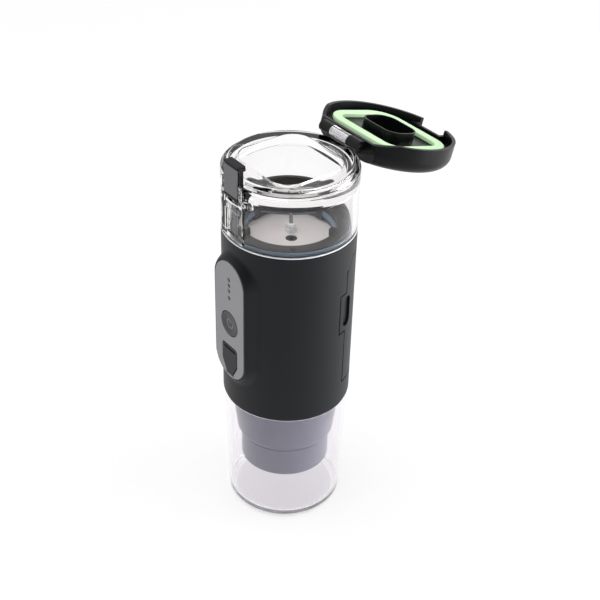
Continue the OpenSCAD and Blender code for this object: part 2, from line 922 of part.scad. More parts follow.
module pump_body() {
    top = tube_z + tube_l;
    color("ivory")
        translate([0, pump_y, 0])
            difference() {
                union() {
                    bar(pump_tube_d / 2, tube_z, top);
                    bar(barb_r, tube_z - barb_l, top + barb_l);
                }
                bar(bore_r, tube_z + cap_t, top - cap_t);
                bar(channel_r, tube_z - barb_l - 1, top + barb_l + 1);
            }
}

module pump_plunger() {
    mid = tube_z + tube_l / 2;
    color("silver")
        translate([0, pump_y, 0])
            tube(plunger_d / 2, channel_r, mid - plunger_l / 2, mid + plunger_l / 2);
}

module plunger_spring() {
    mid = tube_z + tube_l / 2;
    color("gray")
        translate([0, pump_y, 0])
            tube(spring_r, spring_r - spring_wire, tube_z + cap_t, mid - plunger_l / 2);
}

module pump_mounts() {
    color([0.1, 0.1, 0.1])
        for (x = [-mount_x, mount_x])
            bar_y(mount_r, x, coil_z + coil_h / 2, tray_front - tray_t - mount_t, tray_front - tray_t);
}

module outlet_hose() {
    color([0.85, 0.85, 0.82])
        translate([0, pump_y, 0])
            tube(hose_r, hose_in_r, head_top + fit_gap, tube_z - fit_gap);
}

// The inlet hose: an S in one upright plane, as a list of side, height and lean
module inlet_hose() {
    low = tube_z + tube_l + fit_gap;
    high = pan_z - hose_end;
    straight = barb_l + hose_end;
    side = norm(outlet_xy - [0, pump_y]);
    rise = high - low - 2 * straight;
    turn = 2 * atan(side / rise);
    bend_r = rise / 2 / sin(turn);
    heading = atan2(-pump_y, outlet_x);
    leans = [for (i = [0:hose_bend_rings]) turn * i / hose_bend_rings];
    route = concat([[0, low, 0]],
        [for (t = leans) [bend_r * (1 - cos(t)), low + straight + bend_r * sin(t), t]],
        [for (i = [hose_bend_rings - 1:-1:0]) let(t = leans[i])
            [side - bend_r * (1 - cos(t)), high - straight - bend_r * sin(t), t]],
        [[side, high, 0]]);
    color([0.85, 0.85, 0.82])
        translate([0, pump_y, 0])
            rotate([0, 0, heading])
                swept_hose(route);
}

// A hose along a route in the XZ plane
module swept_hose(route) {
    sides = hose_sides;
    bore = hose_in_r / cos(180 / sides);
    last = 2 * sides * (len(route) - 1);
    points = [for (p = route, r = [hose_r, bore], k = [0:sides - 1]) let(a = 360 * k / sides)
        [p[0] + r * cos(a) * cos(p[2]), r * sin(a), p[1] - r * cos(a) * sin(p[2])]];
    walls = [for (i = [0:len(route) - 2], k = [0:sides - 1])
        let(b = 2 * sides * i, t = b + 2 * sides, n = (k + 1) % sides, m = sides)
            each [[b + k, t + k, t + n], [b + k, t + n, b + n],
                  [b + m + k, t + m + n, t + m + k], [b + m + k, b + m + n, t + m + n]]];
    ends = [for (k = [0:sides - 1]) let(n = (k + 1) % sides, m = sides)
        each [[k, n, m + n], [k, m + n, m + k],
              [last + k, last + m + n, last + n], [last + k, last + m + k, last + m + n]]];
    polyhedron(points, concat(walls, ends));
}

// The pan that carries the heating plate over the battery bay
module heater_pan() {
    seat_z = plate_z - plate_t;
    color([0.2, 0.2, 0.21])
        difference() {
            union() {
                tube(base_r, ring_r + fit_gap, pan_z, tank_z);
                bar(base_r, pan_z, element_z);
                tube(base_r, plate_r - plate_seat, pan_z, seat_z);
                tube(base_r, plate_r + fit_gap, pan_z, plate_z + gasket_ring_t);
            }
            translate(outlet_xy)
                bar(outlet_d / 2 + outlet_flange + run_gap, pan_z - 1, element_z + 1);
            translate(probe_xy)
                bar(probe_d / 2 + probe_room, pan_z - 1, element_z + 1);
            for (p = ring_screw_spots)
                translate(p)
                    bar(screw_r + fit_gap / 2, pan_z + screw_tip_room, tank_z);
        }
}

module heater_element() {
    color([0.55, 0.5, 0.45])
        tube(element_r, element_r - element_w, element_z, plate_z - plate_t);
}

module heating_plate() {
    color([0.84, 0.81, 0.8])
        difference() {
            bar(plate_r, plate_z - plate_t, plate_z);
            translate(outlet_xy)
                bar(outlet_d / 2, plate_z - plate_t - 1, plate_z + 1);
            translate(probe_xy)
                bar(probe_d / 2 + fit_gap, plate_z - plate_t - 1, plate_z + 1);
        }
}

module plate_gasket() {
    color([0.5, 0.55, 0.6])
        tube(plate_r, plate_open_r, plate_z, plate_z + gasket_ring_t);
}

// The collar on the ring, cut on a slant from nothing at its low side
module splash_collar() {
    slant = atan(collar_rise / (2 * ring_r));
    difference() {
        tube(ring_r, ring_r - splash_t, ring_top - eps, ring_top + collar_rise);
        rotate([0, 0, splash_az])
            translate([0, 0, ring_top + collar_rise / 2])
                rotate([0, -slant, 0])
                    block([-far / 2, -far / 2, 0], [far / 2, far / 2, far]);
    }
}

module retaining_ring() {
    color([0.33, 0.31, 0.3])
        difference() {
            union() {
                tube(ring_r, plate_open_r, plate_z + gasket_ring_t, ring_top);
                splash_collar();
                for (i = [0:3])
                    sector(plate_open_r - ring_tab_reach, plate_open_r + 1, plate_z + gasket_ring_t,
                        ring_top - ring_tab_drop,
                        90 * i + ring_tab_az, 90 * i + ring_tab_az + ring_tab_wrap);
            }
            for (p = ring_screw_spots)
                translate(p)
                    screw_hole(plate_z, ring_top);
        }
}

module ring_screws() {
    color("dimgray")
        for (p = ring_screw_spots)
            translate(p)
                screw(pan_z + 2 * screw_tip_room, ring_top);
}

module water_outlet() {
    color([0.3, 0.3, 0.3])
        translate(outlet_xy)
            difference() {
                union() {
                    bar(outlet_d / 2 + outlet_flange, pan_z + fit_gap, plate_z - plate_t);
                    bar(barb_r, pan_z - barb_l - hose_end, pan_z + outlet_foot);
                    bar(outlet_d / 2 - fit_gap, pan_z + outlet_foot, plate_z - outlet_sink);
                }
                bar(channel_r, pan_z - far / 2, pan_z + far / 2);
            }
}

module temperature_probe() {
    color("silver")
        translate(probe_xy)
            union() {
                bar(probe_d / 2, pan_z + run_gap, plate_z + probe_h - probe_d / 2);
                translate([0, 0, plate_z + probe_h - probe_d / 2])
                    sphere(r = probe_d / 2);
            }
}

module probe_grommet() {
    color([0.92, 0.92, 0.9])
        translate(probe_xy)
            difference() {
                union() {
                    bar(probe_d / 2 + grommet_foot_w, plate_z, plate_z + grommet_foot_h);
                    bar(probe_d / 2 + grommet_neck_w, plate_z, plate_z + grommet_h);
                }
                bar(probe_d / 2 + fit_gap / 2, plate_z - 1, plate_z + grommet_h + 1);
            }
}

module tank_seal() {
    color([0.45, 0.53, 0.62])
        tube(tank_in_r - fit_gap, ring_r + fit_gap, tank_z, tank_z + ring_rise);
}

module water_tank() {
    outside = concat([[0, tank_z], [body_r, tank_z]],
        arc(body_r - ledge_round, ledge_z - ledge_round, ledge_round, 0, 90), [[rim_r, ledge_z]],
        arc(rim_r - rim_round, rim_z - rim_round, rim_round, 0, 90), [[0, rim_z]]);
    inside = concat([[0, tank_z - 1], [tank_in_r, tank_z - 1]],
        arc(tank_in_r - dome_r, rim_z - deck_t - dome_r, dome_r, 0, 90), [[0, rim_z - deck_t]]);
    rail_end = rail_x + rail_w;
    color([0.93, 0.95, 0.98], 0.35)
        difference() {
            union() {
                difference() {
                    union() {
                        rotate_extrude()
                            polygon(outside);
                        bar_x(ear_r, hinge_y, hinge_z, -knuckle_w / 2, knuckle_w / 2);
                        block([-knuckle_w / 2, hinge_y - knuckle_front, ledge_z - knuckle_root],
                            [knuckle_w / 2, hinge_y + ear_r, hinge_z]);
                    }
                    rotate_extrude()
                        polygon(inside);
                }
                for (x = [-rail_end, rail_x])
                    block([x, rail_y, latch_pin_z - rail_low],
                        [x + rail_w, -rail_root, rim_z - rail_top_drop]);
                block([-rail_end, -rail_root, latch_room_z - room_floor],
                    [rail_end, latch_room_y + room_wall, rim_z - deck_t / 2]);
                block([-window_w / 2, rail_y, tank_z + window_low],
                    [window_w / 2, -rail_root, latch_pin_z - window_drop]);
            }
            translate([0, 0, rim_z - deck_t - 1])
                linear_extrude(deck_t + 2)
                    round_rect(mouth_w, mouth_l, mouth_r);
            block([-rail_x, -far / 2, latch_room_z], [rail_x, latch_room_y, rim_z + 1]);
            bar_x(hinge_pin_d / 2 + pin_gap, hinge_y, hinge_z, -far / 2, far / 2);
            bar_x(latch_pin_d / 2 + pin_gap, latch_pin_y, latch_pin_z, -far / 2, far / 2);
            block([window_rim - window_w / 2, -far / 2, tank_z + window_low + window_rim],
                [window_w / 2 - window_rim, window_floor - body_r, latch_pin_z - window_drop - window_rim]);
        }
}

module hinge_pin() {
    color("silver")
        bar_x(hinge_pin_d / 2, hinge_y, hinge_z,
            -ear_x - ear_w + hinge_pin_in, ear_x + ear_w - hinge_pin_in);
}

module latch_pin() {
    half = latch_w / 2 + run_gap + rail_w;
    color("silver")
        bar_x(latch_pin_d / 2, latch_pin_y, latch_pin_z, -half, half);
}

// The lid's outside, or its hollow when shrunk by a wall
module lid_form(inset) {
    r = lid_r - inset;
    top = lid_top - inset;
    corner = lid_round - inset;
    low = lid_z - lid_skirt - (inset > 0 ? 1 : 0);
    difference() {
        rotate_extrude() {
            translate([0, low])
                square([r - corner, top - low]);
            translate([0, low])
                square([r, top - corner - low]);
            intersection() {
                translate([r - corner, top - corner])
                    circle(r = corner);
                translate([0, low])
                    square([r + 1, far]);
            }
        }
        translate([-far / 2, back_cut_y - inset, back_cut_z])
            rotate([lid_open - 180, 0, 0])
                translate([0, 0, -far / 2])
                    cube([far, far, far]);
        translate([-notch_w / 2 - inset, notch_y - far + inset, lid_z - far / 2])
            cube([notch_w + 2 * inset, far, far]);
    }
}

// The space below the lid's skirt, which slopes up to nothing at the hinge
module skirt_cut() {
    low = lid_z - lid_skirt;
    rotate([90, 0, 90])
        linear_extrude(far, center = true)
            polygon([[skirt_end - skirt_run, low], [skirt_end, lid_z], [far, lid_z],
                [far, low - 1], [skirt_end - skirt_run, low - 1]]);
}

module lid_shell() {
    color([0.13, 0.13, 0.14])
        lid_pose()
            difference() {
                union() {
                    difference() {
                        lid_form(0);
                        lid_form(lid_wall);
                    }
                    block([-latch_w / 2, catch_y, catch_z],
                        [latch_w / 2, notch_y + lid_wall / 2, catch_z + catch_t]);
                    for (x = [-ear_x - ear_w, ear_x]) {
                        bar_x(ear_r, hinge_y, hinge_z, x, x + ear_w);
                        block([x, back_cut_y - ear_root, hinge_z - ear_r + ear_shave],
                            [x + ear_w, hinge_y, hinge_z + ear_back_h]);
                    }
                }
                bar_x(hinge_pin_d / 2 + pin_gap, hinge_y, hinge_z, -far / 2, far / 2);
                bar(lid_r - lid_wall, lid_z - lid_skirt - 1, lid_z);
                skirt_cut();
            }
}

// A flat-sided oval bar between two heights
module oval(inset, z0, z1) {
    translate([0, 0, z0])
        linear_extrude(z1 - z0)
            round_rect(oval_w - 2 * inset, oval_l - 2 * inset, oval_r - inset);
}

module lid_liner() {
    color([0.18, 0.19, 0.2])
        lid_pose()
            difference() {
                intersection() {
                    union() {
                        bar(lid_r - lid_wall - fit_gap, liner_z, liner_z + liner_t);
                        oval(0, lid_z - oval_proud, dish_top + dish_floor);
                    }
                    translate([0, 0, -eps])
                        union() {
                            lid_form(lid_wall + fit_gap);
                            bar(oval_w / 2 + 1, lid_z - oval_proud - 1, lid_z);
                        }
                }
                oval(oval_t, lid_z - oval_proud - 1, dish_top);
                translate([0, vent_y, 0])
                    bar(vent_stem_r + fit_gap, dish_top - 1, dish_top + dish_floor + 1);
            }
}

module lid_gasket() {
    outer_w = mouth_w + 2 * gasket_side;
    outer_l = mouth_l + 2 * gasket_front;
    color([0.83, 0.96, 0.78])
        lid_pose()
            translate([0, 0, lid_z])
                linear_extrude(gasket_t)
                    difference() {
                        intersection() {
                            round_rect(outer_w, outer_l, mouth_r + gasket_corner);
                            circle(r = lid_r - lid_wall - run_gap);
                        }
                        round_rect(outer_w - 2 * gasket_w, outer_l - 2 * gasket_w, mouth_r);
                    }
}

module lid_vent() {
    color([0.6, 0.62, 0.65])
        lid_pose()
            translate([0, vent_y, 0]) {
                bar(vent_r, dish_top - vent_h, dish_top);
                bar(vent_stem_r, dish_top - eps, dish_top + vent_stem_l);
            }
}

module latch_lever() {
    top = latch_pin_z + latch_h;
    color([0.3, 0.3, 0.32])
        difference() {
            union() {
                block([-latch_w / 2, latch_y, latch_pin_z], [latch_w / 2, latch_back, top]);
                bar_x(latch_t / 2, latch_pin_y, latch_pin_z, -latch_w / 2, latch_w / 2);
                block([-latch_w / 2, latch_y, hook_z], [latch_w / 2, hook_y, top]);
            }
            bar_x(latch_pin_d / 2 + pin_gap, latch_pin_y, latch_pin_z, -latch_w, latch_w);
            block([-latch_w, latch_y - 1, top - latch_groove_drop],
                [latch_w, latch_y + latch_groove_depth, top - latch_groove_drop + latch_groove_w]);
        }
}

module battery_door() {
    recess_l = tab_h - 2 * recess_end - recess_w;
    color([0.16, 0.17, 0.18])
        difference() {
            door_outline(shell_in_r, body_r, 0, 0);
            for (s = [-1, 1])
                rotate([0, 0, 90 + s * (door_half - recess_angle)])
                    translate([body_r - recess_depth, 0, tab_z + tab_h / 2])
                        rotate([0, 90, 0])
                            linear_extrude(far) {
                                square([recess_l, recess_w], center = true);
                                for (e = [-1, 1])
                                    translate([e * recess_l / 2, 0])
                                        circle(d = recess_w);
                            }
        }
}

module capsule_basket() {
    floor_z = basket_z + basket_floor;
    color("silver")
        difference() {
            union() {
                bar(basket_r, basket_z, chamber_top);
                basket_keys(chamber_top - key_l, head_z + key_rise, 0);
            }
            bar(capsule_r, floor_z, far);
            difference() {
                bar(basket_r - basket_wall, floor_z, far);
                basket_keys(chamber_top - key_l, far, 0);
            }
            bar(basket_hole_r, basket_z - 1, floor_z + 1);
        }
}

module capsule_holder() {
    r = neck_in_r + holder_wall;
    top_r = collar_r - holder_in;
    cyl_top = holder_low + holder_cyl_h;
    cone_top = cyl_top + holder_cone_h;
    collar_top = base_z - 2 * run_gap;
    floor_z = holder_low + holder_floor;
    profile = concat([[spout_stem_r, holder_low]],
        arc(r - holder_round, holder_low + holder_round, holder_round, -90, 0),
        [[r, cyl_top], [top_r - collar_edge, cone_top], [top_r, cone_top + collar_edge_h],
         [top_r, collar_top], [neck_r, collar_top], [neck_r, chamber_top], [neck_in_r, chamber_top],
         [neck_in_r, floor_z], [spout_stem_r, floor_z]]);
    color([0.49, 0.49, 0.53])
        union() {
            rotate_extrude()
                polygon(profile);
            thread_lugs(neck_r - lug_root, socket_r - run_gap, head_z - lug_drop);
        }
}

module holder_spout() {
    color([0.2, 0.2, 0.22])
        difference() {
            union() {
                bar(spout_r, holder_low - spout_h, holder_low);
                bar(spout_stem_r - fit_gap, holder_low - eps, holder_low + holder_floor);
            }
            bar(spout_bore_r, holder_low - spout_h - 1, holder_low + holder_floor + 1);
        }
}

module outlet_sieve() {
    color("silver")
        difference() {
            bar(neck_in_r - sieve_in, holder_low + holder_floor, basket_z - run_gap);
            for (i = [0:11])
                translate(polar(sieve_hole_spread, 30 * i))
                    bar(sieve_hole_r, holder_low, basket_z + 1);
        }
}

drinking_cup();
body_shell();
control_panel();
led_lenses();
control_board();
button_switch();
charging_socket();
board_screws();
port_pin();
brew_base();
brew_head();
brew_seal();
piercing_plate();
head_screws();
battery_tray();
battery_cells();
battery_contacts();
pump_frame();
pump_coil();
pump_body();
pump_mounts();
outlet_hose();
inlet_hose();
heater_pan();
heater_element();
heating_plate();
plate_gasket();
retaining_ring();
ring_screws();
water_outlet();
temperature_probe();
probe_grommet();
tank_seal();
water_tank();
hinge_pin();
latch_pin();
lid_shell();
lid_liner();
lid_gasket();
lid_vent();
latch_lever();
power_button();
port_cover();
battery_door();
capsule_basket();
capsule_holder();
holder_spout();
outlet_sieve();
pump_plunger();
plunger_spring();
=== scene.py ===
"""Looks of a portable espresso maker: its meshes, finishes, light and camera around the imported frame.

Shapes are modelled in millimetres and handed over in metres. The front, with panel and latch, faces -Y.
"""

import json
import logging
import math
from collections.abc import Sequence
from dataclasses import dataclass
from enum import Enum
from typing import Any

import bmesh
import bpy
from mathutils import Matrix, Vector

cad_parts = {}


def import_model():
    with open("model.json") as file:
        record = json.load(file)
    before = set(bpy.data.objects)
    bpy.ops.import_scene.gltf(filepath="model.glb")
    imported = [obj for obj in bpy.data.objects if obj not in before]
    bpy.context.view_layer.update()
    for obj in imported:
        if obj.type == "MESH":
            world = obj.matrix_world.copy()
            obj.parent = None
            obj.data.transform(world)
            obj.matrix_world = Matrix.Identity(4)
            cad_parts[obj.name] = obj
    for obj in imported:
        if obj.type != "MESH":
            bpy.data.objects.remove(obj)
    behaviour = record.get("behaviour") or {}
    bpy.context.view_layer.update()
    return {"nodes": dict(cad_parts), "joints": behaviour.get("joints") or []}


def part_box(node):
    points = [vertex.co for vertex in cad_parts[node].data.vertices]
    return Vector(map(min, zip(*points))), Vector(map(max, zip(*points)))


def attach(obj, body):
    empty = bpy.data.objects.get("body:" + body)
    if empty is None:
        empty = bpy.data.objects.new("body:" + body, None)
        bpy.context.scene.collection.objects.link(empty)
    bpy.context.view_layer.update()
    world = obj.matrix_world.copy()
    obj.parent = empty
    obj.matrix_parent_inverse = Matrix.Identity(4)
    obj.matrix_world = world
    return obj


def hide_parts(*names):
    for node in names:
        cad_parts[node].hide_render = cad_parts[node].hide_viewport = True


LOG = logging.getLogger("espresso_maker")

# A millimetre in metres. Lengths are in millimetres, unless their names end in _m.
MM = 0.001
# Points of a profile that are closer than this are one point.
TINY = 1e-4
# Points that are closer than this after a cut are merged: no seam so fine can show.
WELD = 0.004
# A cutter runs this far past what it cuts, so that no two faces coincide.
PAST = 1.0
# A cutter that takes all beyond a face reaches this far.
FAR = 100.0
# Edges that turn by more than this, in degrees, are rounded.
SHARP_DEG = 35.0
# Edges that turn by more than this, in degrees, stay sharp in the shading.
CREASE_DEG = 32.0
# Steps of a full turn, of a small rod, and of the ends of a wide slot.
ROUND_STEPS = 128
ROD_STEPS = 48
SLOT_STEPS = 24
# A slot's end radius as a share of its width: just short of a half, so that its roundings don't meet.
SLOT_END = 0.4999

# Short names for types that many hints use.
Tree = bpy.types.NodeTree
Node = bpy.types.Node
Socket = bpy.types.NodeSocket
Shape = bmesh.types.BMesh
# A profile's corner: its two coordinates and its rounding.
Corner = tuple[float, float, float]


class Body(Enum):
    """The bodies that pieces of the scene ride on."""

    CUP = "cup"
    MACHINE = "machine"
    LID = "lid"
    LATCH = "latch"
    BUTTON = "button"
    PORT_FLAP = "port_flap"
    DOOR = "door"
    HOLDER = "holder"


class Slot(Enum):
    """The record's material slots."""

    CLEAR = "clear_plastic"
    BLACK = "black_plastic"
    LINER = "dark_liner"
    PANEL = "grey_panel"
    HOLDER = "grey_holder"
    TRIM = "dark_trim"
    RUBBER = "grey_rubber"
    MINT = "mint_silicone"
    BLUE = "blue_silicone"
    PALE = "pale_silicone"
    RED = "red_silicone"
    LENS = "light_lens"
    BOARD = "circuit_board"
    PLATE = "steel_plate"
    PIN = "steel_pin"
    SCREW = "dark_screw"
    CELL = "cell_wrap"
    BRASS = "brass_contact"


class Carve(Enum):
    """Ways in which one solid works on another."""

    CUT = "DIFFERENCE"
    JOIN = "UNION"
    MEET = "INTERSECT"


def linear(colour: str, gain: float = 1.0) -> tuple[float, float, float, float]:
    """Turns an sRGB hex colour into linear RGBA.

    Args:
        colour: The colour as #rrggbb.
        gain: A factor on the linear channels.

    Returns:
        The linear colour, opaque.
    """
    channels = [int(colour[i:i + 2], 16) / 255 for i in (1, 3, 5)]
    light = [c / 12.92 if c <= 0.04045 else ((c + 0.055) / 1.055) ** 2.4 for c in channels]
    return (*(min(gain * c, 1.0) for c in light), 1.0)


def per_size(size_mm: float) -> float:
    """Returns the texture scale at which a pattern repeats about every size_mm."""
    return 1.0 / (size_mm * MM)


def fill(node: Node, values: dict[str | int, Any]) -> None:
    """Sets values of a node's input sockets."""
    for name, value in values.items():
        node.inputs[name].default_value = value


def feed(tree: Tree, node: Node, links: dict[str | int, Socket]) -> None:
    """Links output sockets to a node's input sockets."""
    for name, source in links.items():
        tree.links.new(source, node.inputs[name])


def add_node(
    tree: Tree,
    kind: str,
    settings: dict[str, Any] | None = None,
    values: dict[str | int, Any] | None = None,
    links: dict[str | int, Socket] | None = None,
) -> Node:
    """Adds a node with its settings, socket values and incoming links.

    Args:
        tree: The node tree.
        kind: The node's type name.
        settings: Properties of the node.
        values: Values of its input sockets.
        links: Output sockets that feed its input sockets.

    Returns:
        The new node.
    """
    node = tree.nodes.new(kind)
    for name, value in (settings or {}).items():
        setattr(node, name, value)
    fill(node, values or {})
    feed(tree, node, links or {})
    return node


def larger(tree: Tree, one: Socket, other: Socket) -> Socket:
    """Returns the larger of two values."""
    return add_node(tree, "ShaderNodeMath", {"operation": "MAXIMUM"}, links={0: one, 1: other}).outputs[0]


@dataclass(frozen=True)
class Finish:
    """A surface finish, which makes one material."""

    name: str
    slot: Slot
    colour: str
    roughness: float
    ior: float = 1.5

    def material(self) -> bpy.types.Material:
        """Makes the finish's material on first use.

        Returns:
            The material.
        """
        made = bpy.data.materials.get(self.name)
        if made is None:
            made = bpy.data.materials.new(self.name)
            made.use_nodes = True
            tree = made.node_tree
            shader = tree.nodes["Principled BSDF"]
            shader.inputs["IOR"].default_value = self.ior
            self.wire(tree, shader)
        return made

    def wire(self, tree: Tree, shader: Node) -> None:
        """Wires the finish's pattern into its shader.

        Args:
            tree: The material's node tree.
            shader: The material's Principled shader.
        """
        raise NotImplementedError

    def place(self, tree: Tree) -> Socket:
        """Returns the piece's own coordinates, in metres."""
        return add_node(tree, "ShaderNodeTexCoord").outputs["Object"]

    def noise(self, tree: Tree, size_mm: float, detail: float) -> Socket:
        """Returns noise whose features are about size_mm apart."""
        values = {"Scale": per_size(size_mm), "Detail": detail}
        return add_node(tree, "ShaderNodeTexNoise", None, values, {"Vector": self.place(tree)}).outputs["Fac"]

    def tint(self, tree: Tree, pattern: Socket, dark: float,
             bright: float) -> Socket:
        """Returns the finish's colour, which a pattern takes from a dark gain to a bright one."""
        # A node that mixes colours takes them in sockets 6 and 7, and gives their mix in output 2.
        ends = {6: linear(self.colour, dark), 7: linear(self.colour, bright)}
        return add_node(tree, "ShaderNodeMix", {"data_type": "RGBA"}, ends, {0: pattern}).outputs[2]

    def between(self, tree: Tree, pattern: Socket, low: float,
                high: float) -> Socket:
        """Returns a value that a pattern takes from low to high."""
        ends = {"To Min": low, "To Max": high}
        return add_node(tree, "ShaderNodeMapRange", None, ends, {"Value": pattern}).outputs["Result"]

    def relief(self, tree: Tree, pattern: Socket, strength: float,
               depth_mm: float) -> Socket:
        """Returns the normal of a surface that a pattern raises."""
        values = {"Strength": strength, "Distance": depth_mm * MM}
        return add_node(tree, "ShaderNodeBump", None, values, {"Height": pattern}).outputs["Normal"]


@dataclass(frozen=True)
class MouldedPlastic(Finish):
    """Injection-moulded plastic: a spark-eroded grain in relief and gloss, and faint flow clouds in colour.

    The real grain is about 0.1 mm across, too fine for the picture, so it is drawn coarser.
    """

    grain_mm: float = 0.6
    grain_detail: float = 3.0
    grain_depth_mm: float = 0.02
    grain_strength: float = 0.5
    cloud_mm: float = 22.0
    cloud_detail: float = 2.0
    cloud: float = 0.08
    gloss_spread: float = 0.06
    shine: float = 0.5

    def wire(self, tree: Tree, shader: Node) -> None:
        """Wires grain to relief and roughness, and clouds to the colour.

        Args:
            tree: The material's node tree.
            shader: The material's Principled shader.
        """
        grain = self.noise(tree, self.grain_mm, self.grain_detail)
        cloud = self.noise(tree, self.cloud_mm, self.cloud_detail)
        dull, glossy = self.roughness + self.gloss_spread, self.roughness - self.gloss_spread
        fill(shader, {"Specular IOR Level": self.shine})
        feed(tree, shader, {
            "Base Color": self.tint(tree, cloud, 1 - self.cloud, 1 + self.cloud),
            "Roughness": self.between(tree, grain, glossy, dull),
            "Normal": self.relief(tree, grain, self.grain_strength, self.grain_depth_mm),
        })


@dataclass(frozen=True)
class ClearPlastic(Finish):
    """Polished clear copolyester: glassy, with the slow waves that moulding leaves in a thick wall.

    It can be frosted from its foot up to the height frost_mm.
    """

    wave_mm: float = 14.0
    wave_detail: float = 1.0
    wave_depth_mm: float = 0.05
    wave_strength: float = 0.3
    haze: float = 0.02
    shine: float = 0.4
    frost_mm: float = 0.0
    frost_fade_mm: float = 0.4
    frost: float = 0.0

    def wire(self, tree: Tree, shader: Node) -> None:
        """Wires mould waves to relief, and a trace of haze and the frosted foot to the roughness.

        Args:
            tree: The material's node tree.
            shader: The material's Principled shader.
        """
        wave = self.noise(tree, self.wave_mm, self.wave_detail)
        haze = self.between(tree, wave, self.roughness, self.roughness + self.haze)
        height = add_node(tree, "ShaderNodeSeparateXYZ", links={"Vector": self.place(tree)})
        ground = add_node(tree, "ShaderNodeMapRange",
                          values={"From Min": self.frost_mm * MM,
                                  "From Max": (self.frost_mm + self.frost_fade_mm) * MM,
                                  "To Min": self.frost, "To Max": 0.0},
                          links={"Value": height.outputs["Z"]})
        fill(shader, {"Base Color": linear(self.colour), "Transmission Weight": 1.0,
                      "Specular Tint": (self.shine, self.shine, self.shine, 1.0)})
        feed(tree, shader, {
            "Roughness": larger(tree, haze, ground.outputs["Result"]),
            "Normal": self.relief(tree, wave, self.wave_strength, self.wave_depth_mm),
        })


@dataclass(frozen=True)
class Silicone(Finish):
    """Moulded silicone rubber: soft sheen, light that sinks in a little, and dust-fine mottling.

    Real dust is about 0.1 mm across, too fine for the picture, so the mottling is drawn coarser.
    """

    depth_mm: float = 1.5
    scatter: float = 0.25
    dust_mm: float = 1.2
    dust_detail: float = 4.0
    dust_depth_mm: float = 0.02
    dust_strength: float = 0.4
    dark: float = 0.93
    bright: float = 1.05

    def wire(self, tree: Tree, shader: Node) -> None:
        """Wires the mottling to colour and relief, and sets how far light sinks in.

        Args:
            tree: The material's node tree.
            shader: The material's Principled shader.
        """
        dust = self.noise(tree, self.dust_mm, self.dust_detail)
        fill(shader, {"Roughness": self.roughness, "Subsurface Weight": self.scatter,
                      "Subsurface Radius": (1.0, 1.0, 1.0), "Subsurface Scale": self.depth_mm * MM})
        feed(tree, shader, {
            "Base Color": self.tint(tree, dust, self.dark, self.bright),
            "Normal": self.relief(tree, dust, self.dust_strength, self.dust_depth_mm),
        })


@dataclass(frozen=True)
class BrushedMetal(Finish):
    """Brushed sheet or drawn bar: fine lines along one axis that stretch the highlights.

    Real brush lines are about 0.05 mm apart, too fine for the picture, so they are drawn coarser.
    """

    line_mm: float = 0.5
    line_detail: float = 3.0
    line_depth_mm: float = 0.01
    line_strength: float = 0.25
    run_mm: float = 30.0
    axis: tuple[float, float, float] = (1.0, 0.0, 0.0)
    dark: float = 0.9
    bright: float = 1.05
    gloss_spread: float = 0.08
    mirror: float = 1.0

    def wire(self, tree: Tree, shader: Node) -> None:
        """Wires the brush lines to colour, roughness and relief.

        Args:
            tree: The material's node tree.
            shader: The material's Principled shader.
        """
        across, along = per_size(self.line_mm), per_size(self.run_mm)
        scale = [across + (along - across) * share for share in self.axis]
        laid = add_node(tree, "ShaderNodeMapping", values={"Scale": scale},
                        links={"Vector": self.place(tree)})
        noise = add_node(tree, "ShaderNodeTexNoise", values={"Scale": 1.0, "Detail": self.line_detail},
                         links={"Vector": laid.outputs["Vector"]})
        lines = noise.outputs["Fac"]
        dull, glossy = self.roughness + self.gloss_spread, self.roughness - self.gloss_spread
        fill(shader, {"Metallic": self.mirror})
        feed(tree, shader, {
            "Base Color": self.tint(tree, lines, self.dark, self.bright),
            "Roughness": self.between(tree, lines, glossy, dull),
            "Normal": self.relief(tree, lines, self.line_strength, self.line_depth_mm),
        })


@dataclass(frozen=True)
class BoardLaminate(Finish):
    """Glass-epoxy circuit board: green solder mask over copper traces that show as paler runs."""

    trace: str = "#3f7d52"
    trace_mm: float = 1.6
    trace_share: float = 0.05
    trace_run: float = 2.5
    shade: float = 0.8

    def wire(self, tree: Tree, shader: Node) -> None:
        """Wires the traces, drawn as bricks on the board's face, to the colour.

        Args:
            tree: The material's node tree.
            shader: The material's Principled shader.
        """
        face = add_node(tree, "ShaderNodeMapping", values={"Rotation": (math.pi / 2, 0.0, 0.0)},
                        links={"Vector": self.place(tree)})
        runs = add_node(tree, "ShaderNodeTexBrick",
                        values={"Color1": linear(self.colour), "Color2": linear(self.colour, self.shade),
                                "Mortar": linear(self.trace), "Scale": per_size(self.trace_mm),
                                "Mortar Size": self.trace_share, "Brick Width": self.trace_run,
                                "Row Height": 1.0},
                        links={"Vector": face.outputs["Vector"]})
        fill(shader, {"Roughness": self.roughness})
        feed(tree, shader, {"Base Color": runs.outputs["Color"]})


# Polished copolyester, nearly colourless: only edges and reflections show it. The cup's foot is frosted.
CLEAR_TANK = ClearPlastic("clear_copolyester_tank", Slot.CLEAR, "#fbfafa", 0.0, 1.5)
CLEAR_CUP = ClearPlastic("clear_copolyester_cup", Slot.CLEAR, "#fbf9fc", 0.04, 1.45, frost_mm=2.0, frost=0.4)
# Black PC/ABS with a fine spark-eroded grain: matt, grey only where it faces bright surroundings.
BLACK_ABS = MouldedPlastic("black_grained_abs", Slot.BLACK, "#0b0d12", 0.48, shine=0.23)
# The lid is moulded with a smoother skin, so its edges catch light.
BLACK_LID_ABS = MouldedPlastic("black_satin_abs", Slot.BLACK, "#08090b", 0.33, grain_depth_mm=0.01,
                               shine=0.17)
# The lid's liner is polished, so it mirrors softly what stands over it.
BLACK_LINER = MouldedPlastic("black_polished_liner", Slot.LINER, "#090a0b", 0.25, grain_depth_mm=0.004,
                             shine=0.2)
